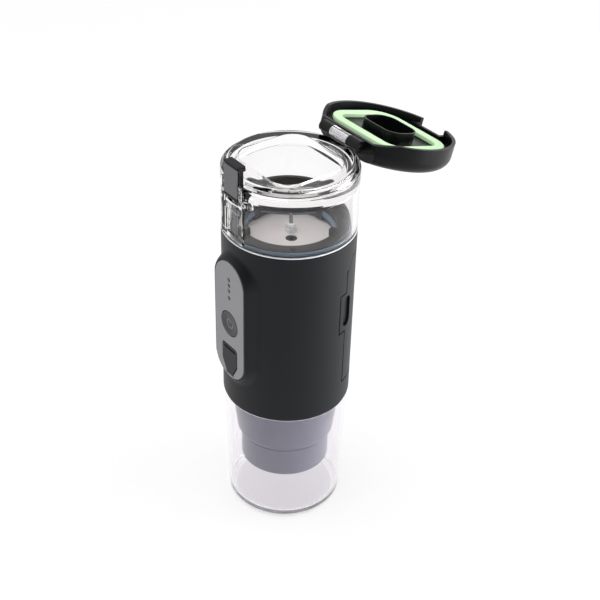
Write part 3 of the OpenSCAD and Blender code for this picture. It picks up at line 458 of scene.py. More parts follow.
# Inner mouldings: plain, dull and dark grey.
DARK_INNER = MouldedPlastic("dark_inner_abs", Slot.LINER, "#2a2a2c", 0.5)
# Grey ABS with a satin skin: even, with a soft broad highlight.
GREY_PANEL = MouldedPlastic("grey_satin_abs", Slot.PANEL, "#828184", 0.45, grain_depth_mm=0.01, cloud=0.05,
                            shine=0.3)
GREY_LATCH = MouldedPlastic("grey_latch_abs", Slot.PANEL, "#5e5d61", 0.45, grain_depth_mm=0.01, cloud=0.05,
                            shine=0.3)
# The button's dark grey is partly its own tone, a little darker than the panel's, and partly painted shade
# for its dish.
GREY_BUTTON_AND_DISH_SHADE = MouldedPlastic("grey_button_abs_and_dish_shade", Slot.PANEL, "#333135", 0.4, grain_depth_mm=0.006, cloud=0.05,
                             shine=0.3)
# Printing ink: flat and paler than the button under it.
MARK_GREY = MouldedPlastic("pale_grey_print", Slot.PANEL, "#6e6c71", 0.45, grain_depth_mm=0.002, cloud=0.03)
# Black satin ABS that frames the latch's grey face.
LATCH_BLACK = MouldedPlastic("black_latch_abs", Slot.PANEL, "#0d0d0e", 0.45, grain_depth_mm=0.01, shine=0.2)
# Smooth cool-grey ABS: it shows as even tones through the cup.
GREY_HOLDER = MouldedPlastic("cool_grey_holder_abs", Slot.HOLDER, "#81828f", 0.3, grain_depth_mm=0.0,
                             gloss_spread=0.01)
# Glass-filled nylon: dark brown-grey with a moderate gloss, so its top edges show as light lines.
RING_NYLON = MouldedPlastic("brown_grey_nylon", Slot.TRIM, "#2b2827", 0.35, grain_depth_mm=0.01)
# Small fittings: dark, with a dull highlight.
DARK_TRIM = MouldedPlastic("dark_moulded_trim", Slot.TRIM, "#2b2a2a", 0.45)
# Rubber: soft and dull, without a clear highlight.
FLAP_RUBBER = MouldedPlastic("grey_rubber_flap", Slot.RUBBER, "#27262a", 0.6, grain_depth_mm=0.012, shine=0.3)
# Silicones: light sinks in, so their edges glow softly where plastics would shine.
MINT_SILICONE = Silicone("mint_silicone", Slot.MINT, "#d6f4cb", 0.5)
BLUE_SILICONE = Silicone("blue_grey_silicone", Slot.BLUE, "#6a7d90", 0.35, scatter=0.1)
MILKY_SILICONE = Silicone("milky_silicone", Slot.PALE, "#e6e8ea", 0.4, scatter=0.4)
RED_SILICONE = Silicone("red_brown_silicone", Slot.RED, "#a04a33", 0.5)
# Smoked lens, unlit: dark, with a small sharp glint.
LIGHT_LENS = MouldedPlastic("smoked_light_lens", Slot.LENS, "#3a3a3f", 0.2, grain_depth_mm=0.002)
# Solder mask: deep green, with paler runs of copper under it.
BOARD = BoardLaminate("green_board_laminate", Slot.BOARD, "#0e4a2a", 0.35)
# Brushed stainless sheet: bright, with highlights stretched across the lines.
STEEL_PLATE = BrushedMetal("brushed_stainless_sheet", Slot.PLATE, "#d9d2ce", 0.38)
# Bead-blasted, so that it scatters much of its light evenly, as a pale matt surface does. Its nearly white
# colour is partly painted light: a painted reflection of the white surroundings that steel would mirror, made
# brighter than the plate itself to make up for light that the tank keeps from it.
BLASTED_STEEL_PAINTED_LIGHT = BrushedMetal("blasted_plate_with_painted_light", Slot.PLATE, "#f4eeeb", 0.5, mirror=0.25)
# Drawn steel: a narrow bright highlight along the rod.
STEEL_PIN = BrushedMetal("drawn_steel_pin", Slot.PIN, "#cfcfd2", 0.25, line_mm=0.3)
STEEL_PROBE = BrushedMetal("polished_steel_probe", Slot.PIN, "#98989b", 0.22, axis=(0.0, 0.0, 1.0))
# Blackened steel: dark, with a metal's own highlight.
DARK_SCREW = BrushedMetal("blackened_steel_screw", Slot.SCREW, "#4a4a4c", 0.4, line_mm=0.3)
# Shrink film: smooth, glossy and blue.
CELL_WRAP = MouldedPlastic("blue_shrink_wrap", Slot.CELL, "#2a5fa8", 0.3, grain_depth_mm=0.004)
# Stamped brass: warm and bright.
BRASS = BrushedMetal("stamped_brass", Slot.BRASS, "#d9b36a", 0.3)

# CAD nodes whose own shape is right: they keep it and take one of these finishes.
KEPT_NODES: dict[Finish, tuple[str, ...]] = {
    DARK_INNER: ("brew_base", "brew_head", "battery_tray", "heater_pan", "pump_body"),
    DARK_TRIM: ("button_switch", "pump_coil", "water_outlet", "holder_spout", "pump_mounts"),
    MILKY_SILICONE: ("outlet_hose", "inlet_hose"),
    BLUE_SILICONE: ("plate_gasket",),
    RED_SILICONE: ("brew_seal",),
    BOARD: ("control_board",),
    STEEL_PLATE: ("piercing_plate", "capsule_basket", "outlet_sieve", "pump_frame", "heater_element"),
    STEEL_PIN: ("charging_socket", "hinge_pin", "latch_pin", "pump_plunger", "plunger_spring"),
    DARK_SCREW: ("board_screws", "head_screws", "port_pin"),
    CELL_WRAP: ("battery_cells",),
    BRASS: ("battery_contacts",),
}


def polar(radius: float, azimuth: float, height: float = 0.0) -> Vector:
    """Returns a point around the axis, its azimuth in degrees from the front towards +X."""
    turn = math.radians(azimuth)
    return Vector((radius * math.sin(turn), -radius * math.cos(turn), height))


def node_box(node: str) -> tuple[Vector, Vector]:
    """Returns a CAD node's lowest and highest corners at rest, in millimetres."""
    low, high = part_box(node)
    return low / MM, high / MM


def rounded_face(corners: Sequence[Corner], segments: int = 6) -> Shape:
    """Makes one flat face in X and Y with rounded corners.

    Args:
        corners: Each corner's x, y and radius.
        segments: Steps in each rounding.

    Returns:
        A mesh with that one face.
    """
    shape = bmesh.new()
    verts = [shape.verts.new((x, y, 0.0)) for x, y, _ in corners]
    shape.faces.new(verts)
    points = [vert.co.copy() for vert in verts]
    for i, (vert, (_, _, radius)) in enumerate(zip(verts, corners)):
        if radius <= 0:
            continue
        before = points[i - 1] - points[i]
        after = points[(i + 1) % len(points)] - points[i]
        setback = radius / math.tan(before.angle(after) / 2)
        bmesh.ops.bevel(shape, geom=[vert], offset=setback, offset_type="OFFSET", segments=segments,
                        profile=0.5, affect="VERTICES", material=-1)
    bmesh.ops.remove_doubles(shape, verts=shape.verts[:], dist=TINY)
    return shape


def box_corners(width: float, height: float, radius: float) -> list[Corner]:
    """Returns the corners of a centred rectangle with rounded corners."""
    x, y = width / 2, height / 2
    return [(-x, -y, radius), (x, -y, radius), (x, y, radius), (-x, y, radius)]


def spin_profile(shape: Shape, steps: int = ROUND_STEPS) -> Shape:
    """Turns a flat profile, radius along X and height along Y, into a solid of revolution around Z.

    Args:
        shape: The profile as one face. It is changed in place.
        steps: Steps around the axis.

    Returns:
        The same mesh, closed.
    """
    bmesh.ops.delete(shape, geom=shape.faces[:], context="FACES_ONLY")
    on_axis = [e for e in shape.edges if all(abs(v.co.x) < TINY for v in e.verts)]
    bmesh.ops.delete(shape, geom=on_axis, context="EDGES")
    bmesh.ops.rotate(shape, verts=shape.verts[:], cent=(0, 0, 0), matrix=Matrix.Rotation(math.pi / 2, 3, "X"))
    bmesh.ops.spin(shape, geom=shape.verts[:] + shape.edges[:], cent=(0, 0, 0), axis=(0, 0, 1),
                   angle=2 * math.pi, steps=steps, use_merge=True, use_duplicate=False)
    bmesh.ops.remove_doubles(shape, verts=shape.verts[:], dist=TINY)
    bmesh.ops.recalc_face_normals(shape, faces=shape.faces[:])
    return shape


def revolved(corners: Sequence[Corner], steps: int = ROUND_STEPS, segments: int = 6) -> Shape:
    """Makes a solid of revolution from a profile's corners: radius, height and rounding."""
    return spin_profile(rounded_face(corners, segments), steps)


def thickened(face: Shape, low: float, high: float) -> Shape:
    """Draws a flat face out between two heights.

    Args:
        face: The flat face. It is changed in place.
        low: Lower height.
        high: Upper height.

    Returns:
        The same mesh, closed.
    """
    bmesh.ops.translate(face, verts=face.verts[:], vec=(0, 0, low))
    grown = bmesh.ops.extrude_face_region(face, geom=face.faces[:])["geom"]
    moved = [part for part in grown if isinstance(part, bmesh.types.BMVert)]
    bmesh.ops.translate(face, verts=moved, vec=(0, 0, high - low))
    bmesh.ops.recalc_face_normals(face, faces=face.faces[:])
    return face


def block(low: Sequence[float], high: Sequence[float]) -> Shape:
    """Makes a block.

    Args:
        low: Its lowest corner.
        high: Its highest corner.

    Returns:
        The block, closed.
    """
    shape = bmesh.new()
    size = Vector(high) - Vector(low)
    middle = (Vector(high) + Vector(low)) / 2
    bmesh.ops.create_cube(shape, size=1.0, matrix=Matrix.Translation(middle) @ Matrix.Diagonal((*size, 1.0)))
    return shape


def rod(radius: float, start: Sequence[float], end: Sequence[float],
        steps: int = ROD_STEPS) -> Shape:
    """Makes a round rod between two points.

    Args:
        radius: The rod's radius.
        start: One end of its axis.
        end: The other end.
        steps: Steps around the axis.

    Returns:
        The rod, closed.
    """
    shape = bmesh.new()
    run = Vector(end) - Vector(start)
    turn = run.to_track_quat("Z", "Y").to_matrix().to_4x4()
    place = Matrix.Translation((Vector(start) + Vector(end)) / 2) @ turn
    bmesh.ops.create_cone(shape, cap_ends=True, segments=steps, radius1=radius, radius2=radius,
                          depth=run.length, matrix=place)
    return shape


def cross_rod(radius: float, half: float, y: float, z: float, steps: int = ROD_STEPS) -> Shape:
    """Makes a round rod along X, half of its length to either side."""
    return rod(radius, (-half, y, z), (half, y, z), steps)


def wedge(low: float, high: float, start: float, end: float, reach: float = 120.0) -> Shape:
    """Makes a wedge of space around the axis.

    Args:
        low: Its lower height.
        high: Its upper height.
        start: The azimuth at which it starts, in degrees.
        end: The azimuth at which it ends.
        reach: How far it reaches from the axis.

    Returns:
        The wedge, closed.
    """
    middle = (start + end) / 2
    spots = [Vector((0, 0, 0)), polar(reach, start), polar(reach, middle), polar(reach, end)]
    return thickened(rounded_face([(p.x, p.y, 0.0) for p in spots]), low, high)


def facing_front(x: float, y: float, z: float) -> Matrix:
    """Returns the turn that lays a face in X and Y onto the front, +Z becoming -Y, at a point."""
    return Matrix.Translation((x, y, z)) @ Matrix.Rotation(math.pi / 2, 4, "X")


class Solid:
    """A closed mesh in millimetres that others cut and join, until it is handed over as a piece."""

    def __init__(self, shape: Shape, place: Matrix | None = None) -> None:
        """Takes over a mesh.

        Args:
            shape: The mesh, which is freed.
            place: A turn or move to apply to it.
        """
        if place is not None:
            bmesh.ops.transform(shape, matrix=place, verts=shape.verts[:])
        mesh = bpy.data.meshes.new("solid")
        shape.to_mesh(mesh)
        shape.free()
        self.obj = bpy.data.objects.new("solid", mesh)
        bpy.context.scene.collection.objects.link(self.obj)

    def apply(self) -> "Solid":
        """Turns the modifiers into mesh.

        Returns:
            The same solid.
        """
        graph = bpy.context.evaluated_depsgraph_get()
        mesh = bpy.data.meshes.new_from_object(self.obj.evaluated_get(graph))
        old = self.obj.data
        self.obj.modifiers.clear()
        self.obj.data = mesh
        bpy.data.meshes.remove(old)
        return self

    def work(self, how: Carve, *others: "Solid") -> "Solid":
        """Cuts, joins or meets this solid with others.

        Args:
            how: The way in which they work on it.
            others: The other solids, in order. They are used up.

        Returns:
            The same solid.
        """
        for other in others:
            carve = self.obj.modifiers.new("carve", "BOOLEAN")
            carve.operation = how.value
            carve.solver = "EXACT"
            carve.object = other.obj
            self.apply()
            mesh = other.obj.data
            bpy.data.objects.remove(other.obj)
            bpy.data.meshes.remove(mesh)
        return self

    def cut(self, *others: "Solid") -> "Solid":
        """Takes others away from this solid."""
        return self.work(Carve.CUT, *others)

    def join(self, *others: "Solid") -> "Solid":
        """Adds others to this solid."""
        return self.work(Carve.JOIN, *others)

    def meet(self, *others: "Solid") -> "Solid":
        """Keeps only what this solid shares with others."""
        return self.work(Carve.MEET, *others)

    def soften(self, width: float, segments: int = 3) -> "Solid":
        """Rounds the sharp edges.

        Args:
            width: Width of the rounding.
            segments: Steps in the rounding.

        Returns:
            The same solid.
        """
        self.weld()
        bevel = self.obj.modifiers.new("soft_edges", "BEVEL")
        bevel.width = width
        bevel.segments = segments
        bevel.limit_method = "ANGLE"
        bevel.angle_limit = math.radians(SHARP_DEG)
        bevel.use_clamp_overlap = True
        return self.apply()

    def weld(self) -> "Solid":
        """Merges points that lie closer than a seam can show, and drops faces without area.

        Returns:
            The same solid.
        """
        shape = bmesh.new()
        shape.from_mesh(self.obj.data)
        bmesh.ops.remove_doubles(shape, verts=shape.verts[:], dist=WELD)
        bmesh.ops.dissolve_degenerate(shape, edges=shape.edges[:], dist=WELD)
        shape.to_mesh(self.obj.data)
        shape.free()
        return self

    def round_within(self, width: float, low: Sequence[float], high: Sequence[float],
                     segments: int = 6) -> "Solid":
        """Rounds the sharp edges that lie wholly between two corners.

        Args:
            width: Width of the rounding.
            low: Lowest corner of the space.
            high: Highest corner of the space.
            segments: Steps in the rounding.

        Returns:
            The same solid.
        """
        shape = bmesh.new()
        shape.from_mesh(self.obj.data)
        edges = [e for e in shape.edges if e.calc_face_angle(0.0) > math.radians(SHARP_DEG)
                 and all(low[i] < v.co[i] < high[i] for v in e.verts for i in range(3))]
        bmesh.ops.bevel(shape, geom=edges, offset=width, offset_type="OFFSET", segments=segments, profile=0.5,
                        affect="EDGES", material=-1, clamp_overlap=True)
        shape.to_mesh(self.obj.data)
        shape.free()
        return self

    def move(self, place: Matrix) -> "Solid":
        """Turns or moves the solid's mesh."""
        self.obj.data.transform(place)
        return self

    def hand_over(self, name: str, finish: Finish, body: Body, *nodes: str) -> bpy.types.Object:
        """Makes the solid a finished piece, in metres.

        Args:
            name: The piece's name.
            finish: Its finish.
            body: The body that it rides on.
            nodes: CAD nodes that it stands for.

        Returns:
            The piece.
        """
        self.weld()
        mesh = self.obj.data
        mesh.transform(Matrix.Scale(MM, 4))
        mesh.polygons.foreach_set("use_smooth", [True] * len(mesh.polygons))
        mesh.set_sharp_from_angle(angle=math.radians(CREASE_DEG))
        even = self.obj.modifiers.new("even_normals", "WEIGHTED_NORMAL")
        even.keep_sharp = True
        self.apply()
        self.obj.name = name
        self.obj.data.name = name
        self.obj.data.materials.clear()
        self.obj.data.materials.append(finish.material())
        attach(self.obj, body.value)
        if nodes:
            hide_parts(*nodes)
        LOG.info("%s: %d faces, on %s", name, len(self.obj.data.polygons), body.value)
        return self.obj


@dataclass
class DrinkingCup:
    """The clear cup that the machine stands on."""

    wall: float = 2.0
    floor: float = 3.0
    foot_round: float = 2.0
    floor_round: float = 4.0
    foot_rise: float = 0.5
    foot_ring: float = 2.6
    taper: float = 2.4
    shoulder_in: float = 2.0
    lip_h: float = 7.0
    ring_round: float = 0.3
    step_round: float = 0.2
    shoulder_round: float = 0.5
    lip_round: float = 0.6
    throat_round: float = 1.0

    def build(self) -> None:
        """Builds the cup with its foot ring, shoulder and lip."""
        low, high = node_box("drinking_cup")
        top = high.x
        foot = top - self.taper
        shoulder = high.z - self.lip_h
        lip = top - self.shoulder_in
        ring = foot - self.foot_round - self.foot_ring
        bore = foot - self.wall
        corners = [
            (0, self.foot_rise, 0), (ring, self.foot_rise, self.ring_round),
            (ring + self.foot_rise, low.z, self.step_round), (foot, low.z, self.foot_round),
            (top, shoulder, self.shoulder_round), (lip, shoulder, self.step_round),
            (lip, high.z, self.lip_round), (lip - self.wall, high.z, self.lip_round),
            (lip - self.wall, shoulder - self.wall, self.throat_round),
            (bore, self.floor, self.floor_round), (0, self.floor, 0),
        ]
        Solid(revolved(corners)).hand_over("cup_wall", CLEAR_CUP, Body.CUP, "drinking_cup")


@dataclass
class MachineBody:
    """The black body with the boss that carries the control panel, and the battery door at its back."""

    wall: float = 2.2
    edge_round: float = 1.0
    top_round: float = 0.4
    steps: int = 288
    rows: int = 106
    line_h: float = 0.55
    line_w: float = 1.2
    line_proud: float = 0.08
    boss_rim: float = 0.8
    boss_blend: float = 4.0
    panel_drop: float = 0.3
    pocket_gap: float = 0.35
    pocket_depth: float = 2.2
    door_half: float = 67.0
    door_gap: float = 0.7
    tab_half: float = 75.6
    tab_low: float = 35.4
    tab_h: float = 24.0
    corner_h: float = 7.0
    corner_slope: float = 33.0
    recess_az: float = 65.5
    recess_w: float = 7.0
    recess_h: float = 19.0
    recess_depth: float = 1.6
    recess_reach: float = 10.0
    recess_steps: int = 16
    door_edge: float = 0.3
    inner_round: float = 0.3
    line_round: float = 0.15
    pocket_reach: float = 9.0

    def build(self) -> None:
        """Builds the body and the door that comes out of its back."""
        body = Solid(self.shell())
        panel_low, panel_high = node_box("control_panel")
        width = panel_high.x - panel_low.x + 2 * self.pocket_gap
        height = panel_high.z - panel_low.z + 2 * self.pocket_gap
        middle = (panel_low.z + panel_high.z) / 2
        outline = rounded_face(box_corners(width, height, SLOT_END * width), SLOT_STEPS)
        pocket = thickened(outline, -self.pocket_depth, self.pocket_reach)
        body.cut(Solid(pocket, facing_front(0, panel_low.y + self.panel_drop, middle)))
        body.cut(self.door_outline(self.door_gap))
        body.hand_over("body_wall", BLACK_ABS, Body.MACHINE, "body_shell")
        self.joint_line()
        self.door()

    def joint_line(self) -> None:
        """Builds the thin pale gasket that shows as a line between body and tank."""
        high = node_box("body_shell")[1]
        low, top = high.z - self.line_h / 2, high.z + self.line_h / 2
        root, proud = high.x - self.line_w, high.x + self.line_proud
        line = revolved([(root, low, 0), (proud, low, self.line_round), (proud, top, self.line_round),
                         (root, top, 0)])
        Solid(line).hand_over("joint_gasket", MILKY_SILICONE, Body.MACHINE)

    def shell(self) -> Shape:
        """Makes the round wall, with its outer rows drawn out to the panel's boss.

        Returns:
            The wall, closed.
        """
        low, high = node_box("body_shell")
        radius = high.x
        inner = radius - self.wall
        shape = rounded_face([(inner, low.z, self.inner_round), (radius, low.z, self.edge_round),
                              (radius, high.z, self.top_round), (inner, high.z, self.inner_round)])
        outer = [e for e in shape.edges if all(v.co.x > radius - TINY for v in e.verts)]
        bmesh.ops.subdivide_edges(shape, edges=outer, cuts=self.rows)
        spin_profile(shape, self.steps)
        panel_low, panel_high = node_box("control_panel")
        face = panel_low.y + self.panel_drop
        half_w = (panel_high.x - panel_low.x) / 2 + self.boss_rim
        half_h = (panel_high.z - panel_low.z) / 2 + self.boss_rim
        middle = (panel_low.z + panel_high.z) / 2
        for vert in shape.verts:
            point = vert.co
            if point.y > 0 or math.hypot(point.x, point.y) < radius - self.edge_round:
                continue
            past_end = max(abs(point.z - middle) - (half_h - half_w), 0.0)
            outside = math.hypot(point.x, past_end) - half_w
            share = min(max(outside / self.boss_blend, 0.0), 1.0)
            fall = share * share * (3 - 2 * share)
            point.y = face + (point.y - face) * fall
        bmesh.ops.recalc_face_normals(shape, faces=shape.faces[:])
        return shape

    def door_outline(self, gap: float) -> Solid:
        """Makes the space that the door takes: a wedge with sloped upper corners and two tabs.

        Args:
            gap: How far the space is grown.

        Returns:
            The space.
        """
        low, high = node_box("battery_door")
        grow = math.degrees(gap / node_box("body_shell")[1].x)
        start = 180 - self.door_half - grow
        space = Solid(wedge(low.z - gap, high.z + gap, start, 360 - start))
        for side in (-1, 1):
            edge = Matrix.Rotation(math.radians(90 + side * self.door_half), 4, "Z")
            lift = Matrix.Translation((0, 0, high.z - self.corner_h + gap))
            slope = Matrix.Rotation(math.radians(side * self.corner_slope), 4, "X")
            near, away = (-PAST, 2 * FAR) if side > 0 else (-2 * FAR, PAST)
            space.cut(Solid(block((-PAST, near, 0), (2 * FAR, away, 2 * FAR)), edge @ lift @ slope))
        tab = 180 - self.tab_half - grow
        tab_z = low.z + self.tab_low
        space.join(Solid(wedge(tab_z - gap, tab_z + self.tab_h + gap, tab, 360 - tab)))
        return space

    def door(self) -> None:
        """Builds the battery door with its tabs and finger recesses."""
        low, high = node_box("battery_door")
        radius = node_box("body_shell")[1].x
        inner = radius - self.wall
        wall = revolved([(inner, low.z, 0), (radius, low.z, 0), (radius, high.z, 0), (inner, high.z, 0)])
        door = Solid(wall).meet(self.door_outline(0.0))
        middle = low.z + self.tab_low + self.tab_h / 2
        up = Vector((0, 0, 1))
        for side in (-1, 1):
            out = polar(1.0, 180 + side * self.recess_az)
            turn = Matrix((up.cross(out), up, out)).transposed().to_4x4()
            place = Matrix.Translation(out * (radius - self.recess_depth) + Vector((0, 0, middle))) @ turn
            face = rounded_face(box_corners(self.recess_w, self.recess_h, SLOT_END * self.recess_w),
                                self.recess_steps)
            door.cut(Solid(thickened(face, 0.0, self.recess_reach), place))
        door.soften(self.door_edge, 2)
        door.hand_over("battery_door_panel", BLACK_ABS, Body.DOOR, "battery_door")


@dataclass
class ControlPanel:
    """The grey panel with its power button, lights and the flap over the charging socket."""

    plate_t: float = 2.0
    edge: float = 0.45
    button_gap: float = 0.25
    light_gap: float = 0.3
    flap_gap: float = 0.6
    flap_t: float = 1.2
    flap_hinge_w: float = 5.4
    flap_taper_h: float = 7.0
    flap_corner: float = 2.0
    roll_up: float = 0.9
    hinge_room: float = 1.85
    hinge_side: float = 0.9
    groove_h: float = 1.6
    groove_depth: float = 0.7
    groove_drop: float = 1.1
    socket_room: float = 0.5
    mark_r: float = 2.7
    mark_w: float = 0.55
    foot_round: float = 1.0
    shoulder_round: float = 2.0
    flap_edge: float = 0.25
    groove_side: float = 1.2
    groove_round: float = 0.7
    groove_steps: int = 4
    plug_half_w: float = 3.4
    plug_half_h: float = 0.7
    plug_root: float = 0.6
    hole_steps: int = 96
    light_step: float = 0.307
    lens_round: float = 0.4
    lens_dome: float = 0.12
    lens_steps: int = 32
    flange_w: float = 1.0
    flange_t: float = 0.8
    cap_round: float = 0.5
    brim_w: float = 1.2
    brim_drop: float = 0.05
    brim_round: float = 0.6
    dish: float = 0.45
    dish_share: float = 0.8
    dish_round: float = 6.0
    mark_proud: float = 0.05
    mark_depth: float = 0.5
    mark_round: float = 0.05
    mark_steps: int = 64
    notch_run: float = 3.0
    stroke_low: float = 0.4
    stroke_past: float = 0.5

    def build(self) -> None:
        """Builds plate, lights, button and flap."""
        self.plate()
        self.lights()
        self.button()
        self.flap()

    def flap_face(self, gap: float) -> Shape:
        """Makes the flap's shield outline, in X and height.

        Args:
            gap: How far the outline is grown.

        Returns:
            A mesh with that one face.
        """
        low, high = node_box("port_cover")
        half = high.x + gap
        foot = low.z + self.roll_up - gap
        top = high.z + gap
        side = self.flap_hinge_w / 2 + gap
        shoulder = foot + self.flap_taper_h
        return rounded_face([
            (-side, foot, self.foot_round), (side, foot, self.foot_round),
            (half, shoulder, self.shoulder_round), (half, top, self.flap_corner),
            (-half, top, self.flap_corner), (-half, shoulder, self.shoulder_round)])

    def flap_axis(self) -> tuple[float, float]:
        """Returns the y and z of the flap's pin."""
        low, high = node_box("port_pin")
        return (low.y + high.y) / 2, (low.z + high.z) / 2

    def plate(self) -> None:
        """Builds the plate with its holes."""
        low, high = node_box("control_panel")
        face = low.y
        near, away = face - PAST, face + self.plate_t + PAST
        width = high.x - low.x
        middle = (low.z + high.z) / 2
        outline = rounded_face(box_corners(width, high.z - low.z, SLOT_END * width), SLOT_STEPS)
        plate = Solid(thickened(outline, -self.plate_t, 0.0), facing_front(0, face, middle))
        button_low, button_high = node_box("power_button")
        button_z = (button_low.z + button_high.z) / 2
        hole = self.button_radius() + self.button_gap
        plate.cut(Solid(rod(hole, (0, near, button_z), (0, away, button_z), self.hole_steps)))
        recess = thickened(self.flap_face(self.flap_gap), -self.flap_t - self.flap_gap, PAST)
        plate.cut(Solid(recess, facing_front(0, face, 0)))
        half = self.flap_hinge_w / 2 + self.hinge_side
        plate.cut(Solid(cross_rod(self.hinge_room, half, *self.flap_axis())))
        socket_low, socket_high = node_box("charging_socket")
        plate.cut(Solid(block((socket_low.x - self.socket_room, near, socket_low.z),
                              (socket_high.x + self.socket_room, away, socket_high.z))))
        radius = self.light_radius() + self.light_gap
        for z in self.light_heights():
            plate.cut(Solid(rod(radius, (0, near, z), (0, away, z))))
        plate.soften(self.edge)
        plate.hand_over("panel_plate", GREY_PANEL, Body.MACHINE, "control_panel")

    def button_radius(self) -> float:
        """Returns the radius of the button's cap, without its flange."""
        low, high = node_box("power_button")
        return (high.x - low.x) / 2 - self.flange_w

    def light_radius(self) -> float:
        """Returns the radius of one light."""
        low, high = node_box("led_lenses")
        return (high.x - low.x) / 2

    def light_heights(self) -> list[float]:
        """Works out the lights' heights: three close together and one apart, below them.

        Returns:
            The heights, from the top down.
        """
        low, high = node_box("led_lenses")
        radius = self.light_radius()
        top, bottom = high.z - radius, low.z + radius
        step = (top - bottom) * self.light_step
        return [top, top - step, top - 2 * step, bottom]

    def lights(self) -> None:
        """Builds the four smoked lenses as low domes on pegs."""
        low, high = node_box("led_lenses")
        radius = self.light_radius()
        length = high.y - low.y
        peg = [(0, -length, 0), (radius, -length, 0), (radius, 0, self.lens_round), (0, self.lens_dome, 0)]
        first, *others = [Solid(revolved(peg, self.lens_steps), facing_front(0, low.y, z))
                          for z in self.light_heights()]
        first.join(*others).hand_over("light_lenses", LIGHT_LENS, Body.MACHINE, "led_lenses")

    def button(self) -> None:
        """Builds the dished button with its power mark."""
        low, high = node_box("power_button")
        depth = high.y - low.y
        radius = self.button_radius()
        flange, step = radius + self.flange_w, self.flange_t - depth
        corners = [
            (0, -depth, 0), (flange, -depth, 0), (flange, step, 0), (radius, step, 0),
            (radius, 0, self.cap_round), (radius - self.brim_w, -self.brim_drop, self.brim_round),
            (radius / 2, -self.dish_share * self.dish, self.dish_round), (0, -self.dish, 0),
        ]
        place = facing_front(0, low.y, (low.z + high.z) / 2)
        Solid(revolved(corners), place).hand_over("button_cap", GREY_BUTTON_AND_DISH_SHADE, Body.BUTTON, "power_button")
        self.mark(place)

    def mark(self, place: Matrix) -> None:
        """Builds the power mark, an open ring with a stroke, in the button's dish.

        Args:
            place: The turn and move onto the button's front.
        """
        top = self.mark_proud - self.dish_share * self.dish
        foot = top - self.mark_depth
        half = self.mark_w / 2
        ring_in, ring_out = self.mark_r - half, self.mark_r + half
        ring = Solid(revolved([(ring_in, foot, 0), (ring_out, foot, 0), (ring_out, top, self.mark_round),
                               (ring_in, top, self.mark_round)], self.mark_steps))
        end = self.notch_run * self.mark_r
        notch = rounded_face([(0, 0, 0), (-self.mark_r, end, 0), (self.mark_r, end, 0)])
        stroke = block((-half, self.stroke_low, foot), (half, self.mark_r + self.stroke_past, top))
        ring.cut(Solid(thickened(notch, -2 * PAST, 2 * PAST))).join(Solid(stroke))
        ring.move(place).hand_over("button_mark", MARK_GREY, Body.BUTTON)

    def flap(self) -> None:
        """Builds the rubber flap with its nail groove, hinge roll and plug."""
        high = node_box("port_cover")[1]
        socket_low, socket_high = node_box("charging_socket")
        face = node_box("control_panel")[0].y
        flap = Solid(thickened(self.flap_face(0.0), -self.flap_t, 0.0), facing_front(0, face, 0))
        groove_w = 2 * high.x - 2 * self.groove_side
        groove = rounded_face(box_corners(groove_w, self.groove_h, self.groove_round), self.groove_steps)
        place = facing_front(0, face, high.z - self.groove_drop - self.groove_h / 2)
        flap.cut(Solid(thickened(groove, -self.groove_depth, PAST), place))
        plug_z = (socket_low.z + socket_high.z) / 2
        plug = block((-self.plug_half_w, face + self.plug_root, plug_z - self.plug_half_h),
                     (self.plug_half_w, high.y, plug_z + self.plug_half_h))
        roll = cross_rod(self.roll_up, self.flap_hinge_w / 2, *self.flap_axis())
        flap.join(Solid(roll), Solid(plug))
        flap.soften(self.flap_edge, 2)
        flap.hand_over("port_flap_cover", FLAP_RUBBER, Body.PORT_FLAP, "port_cover")


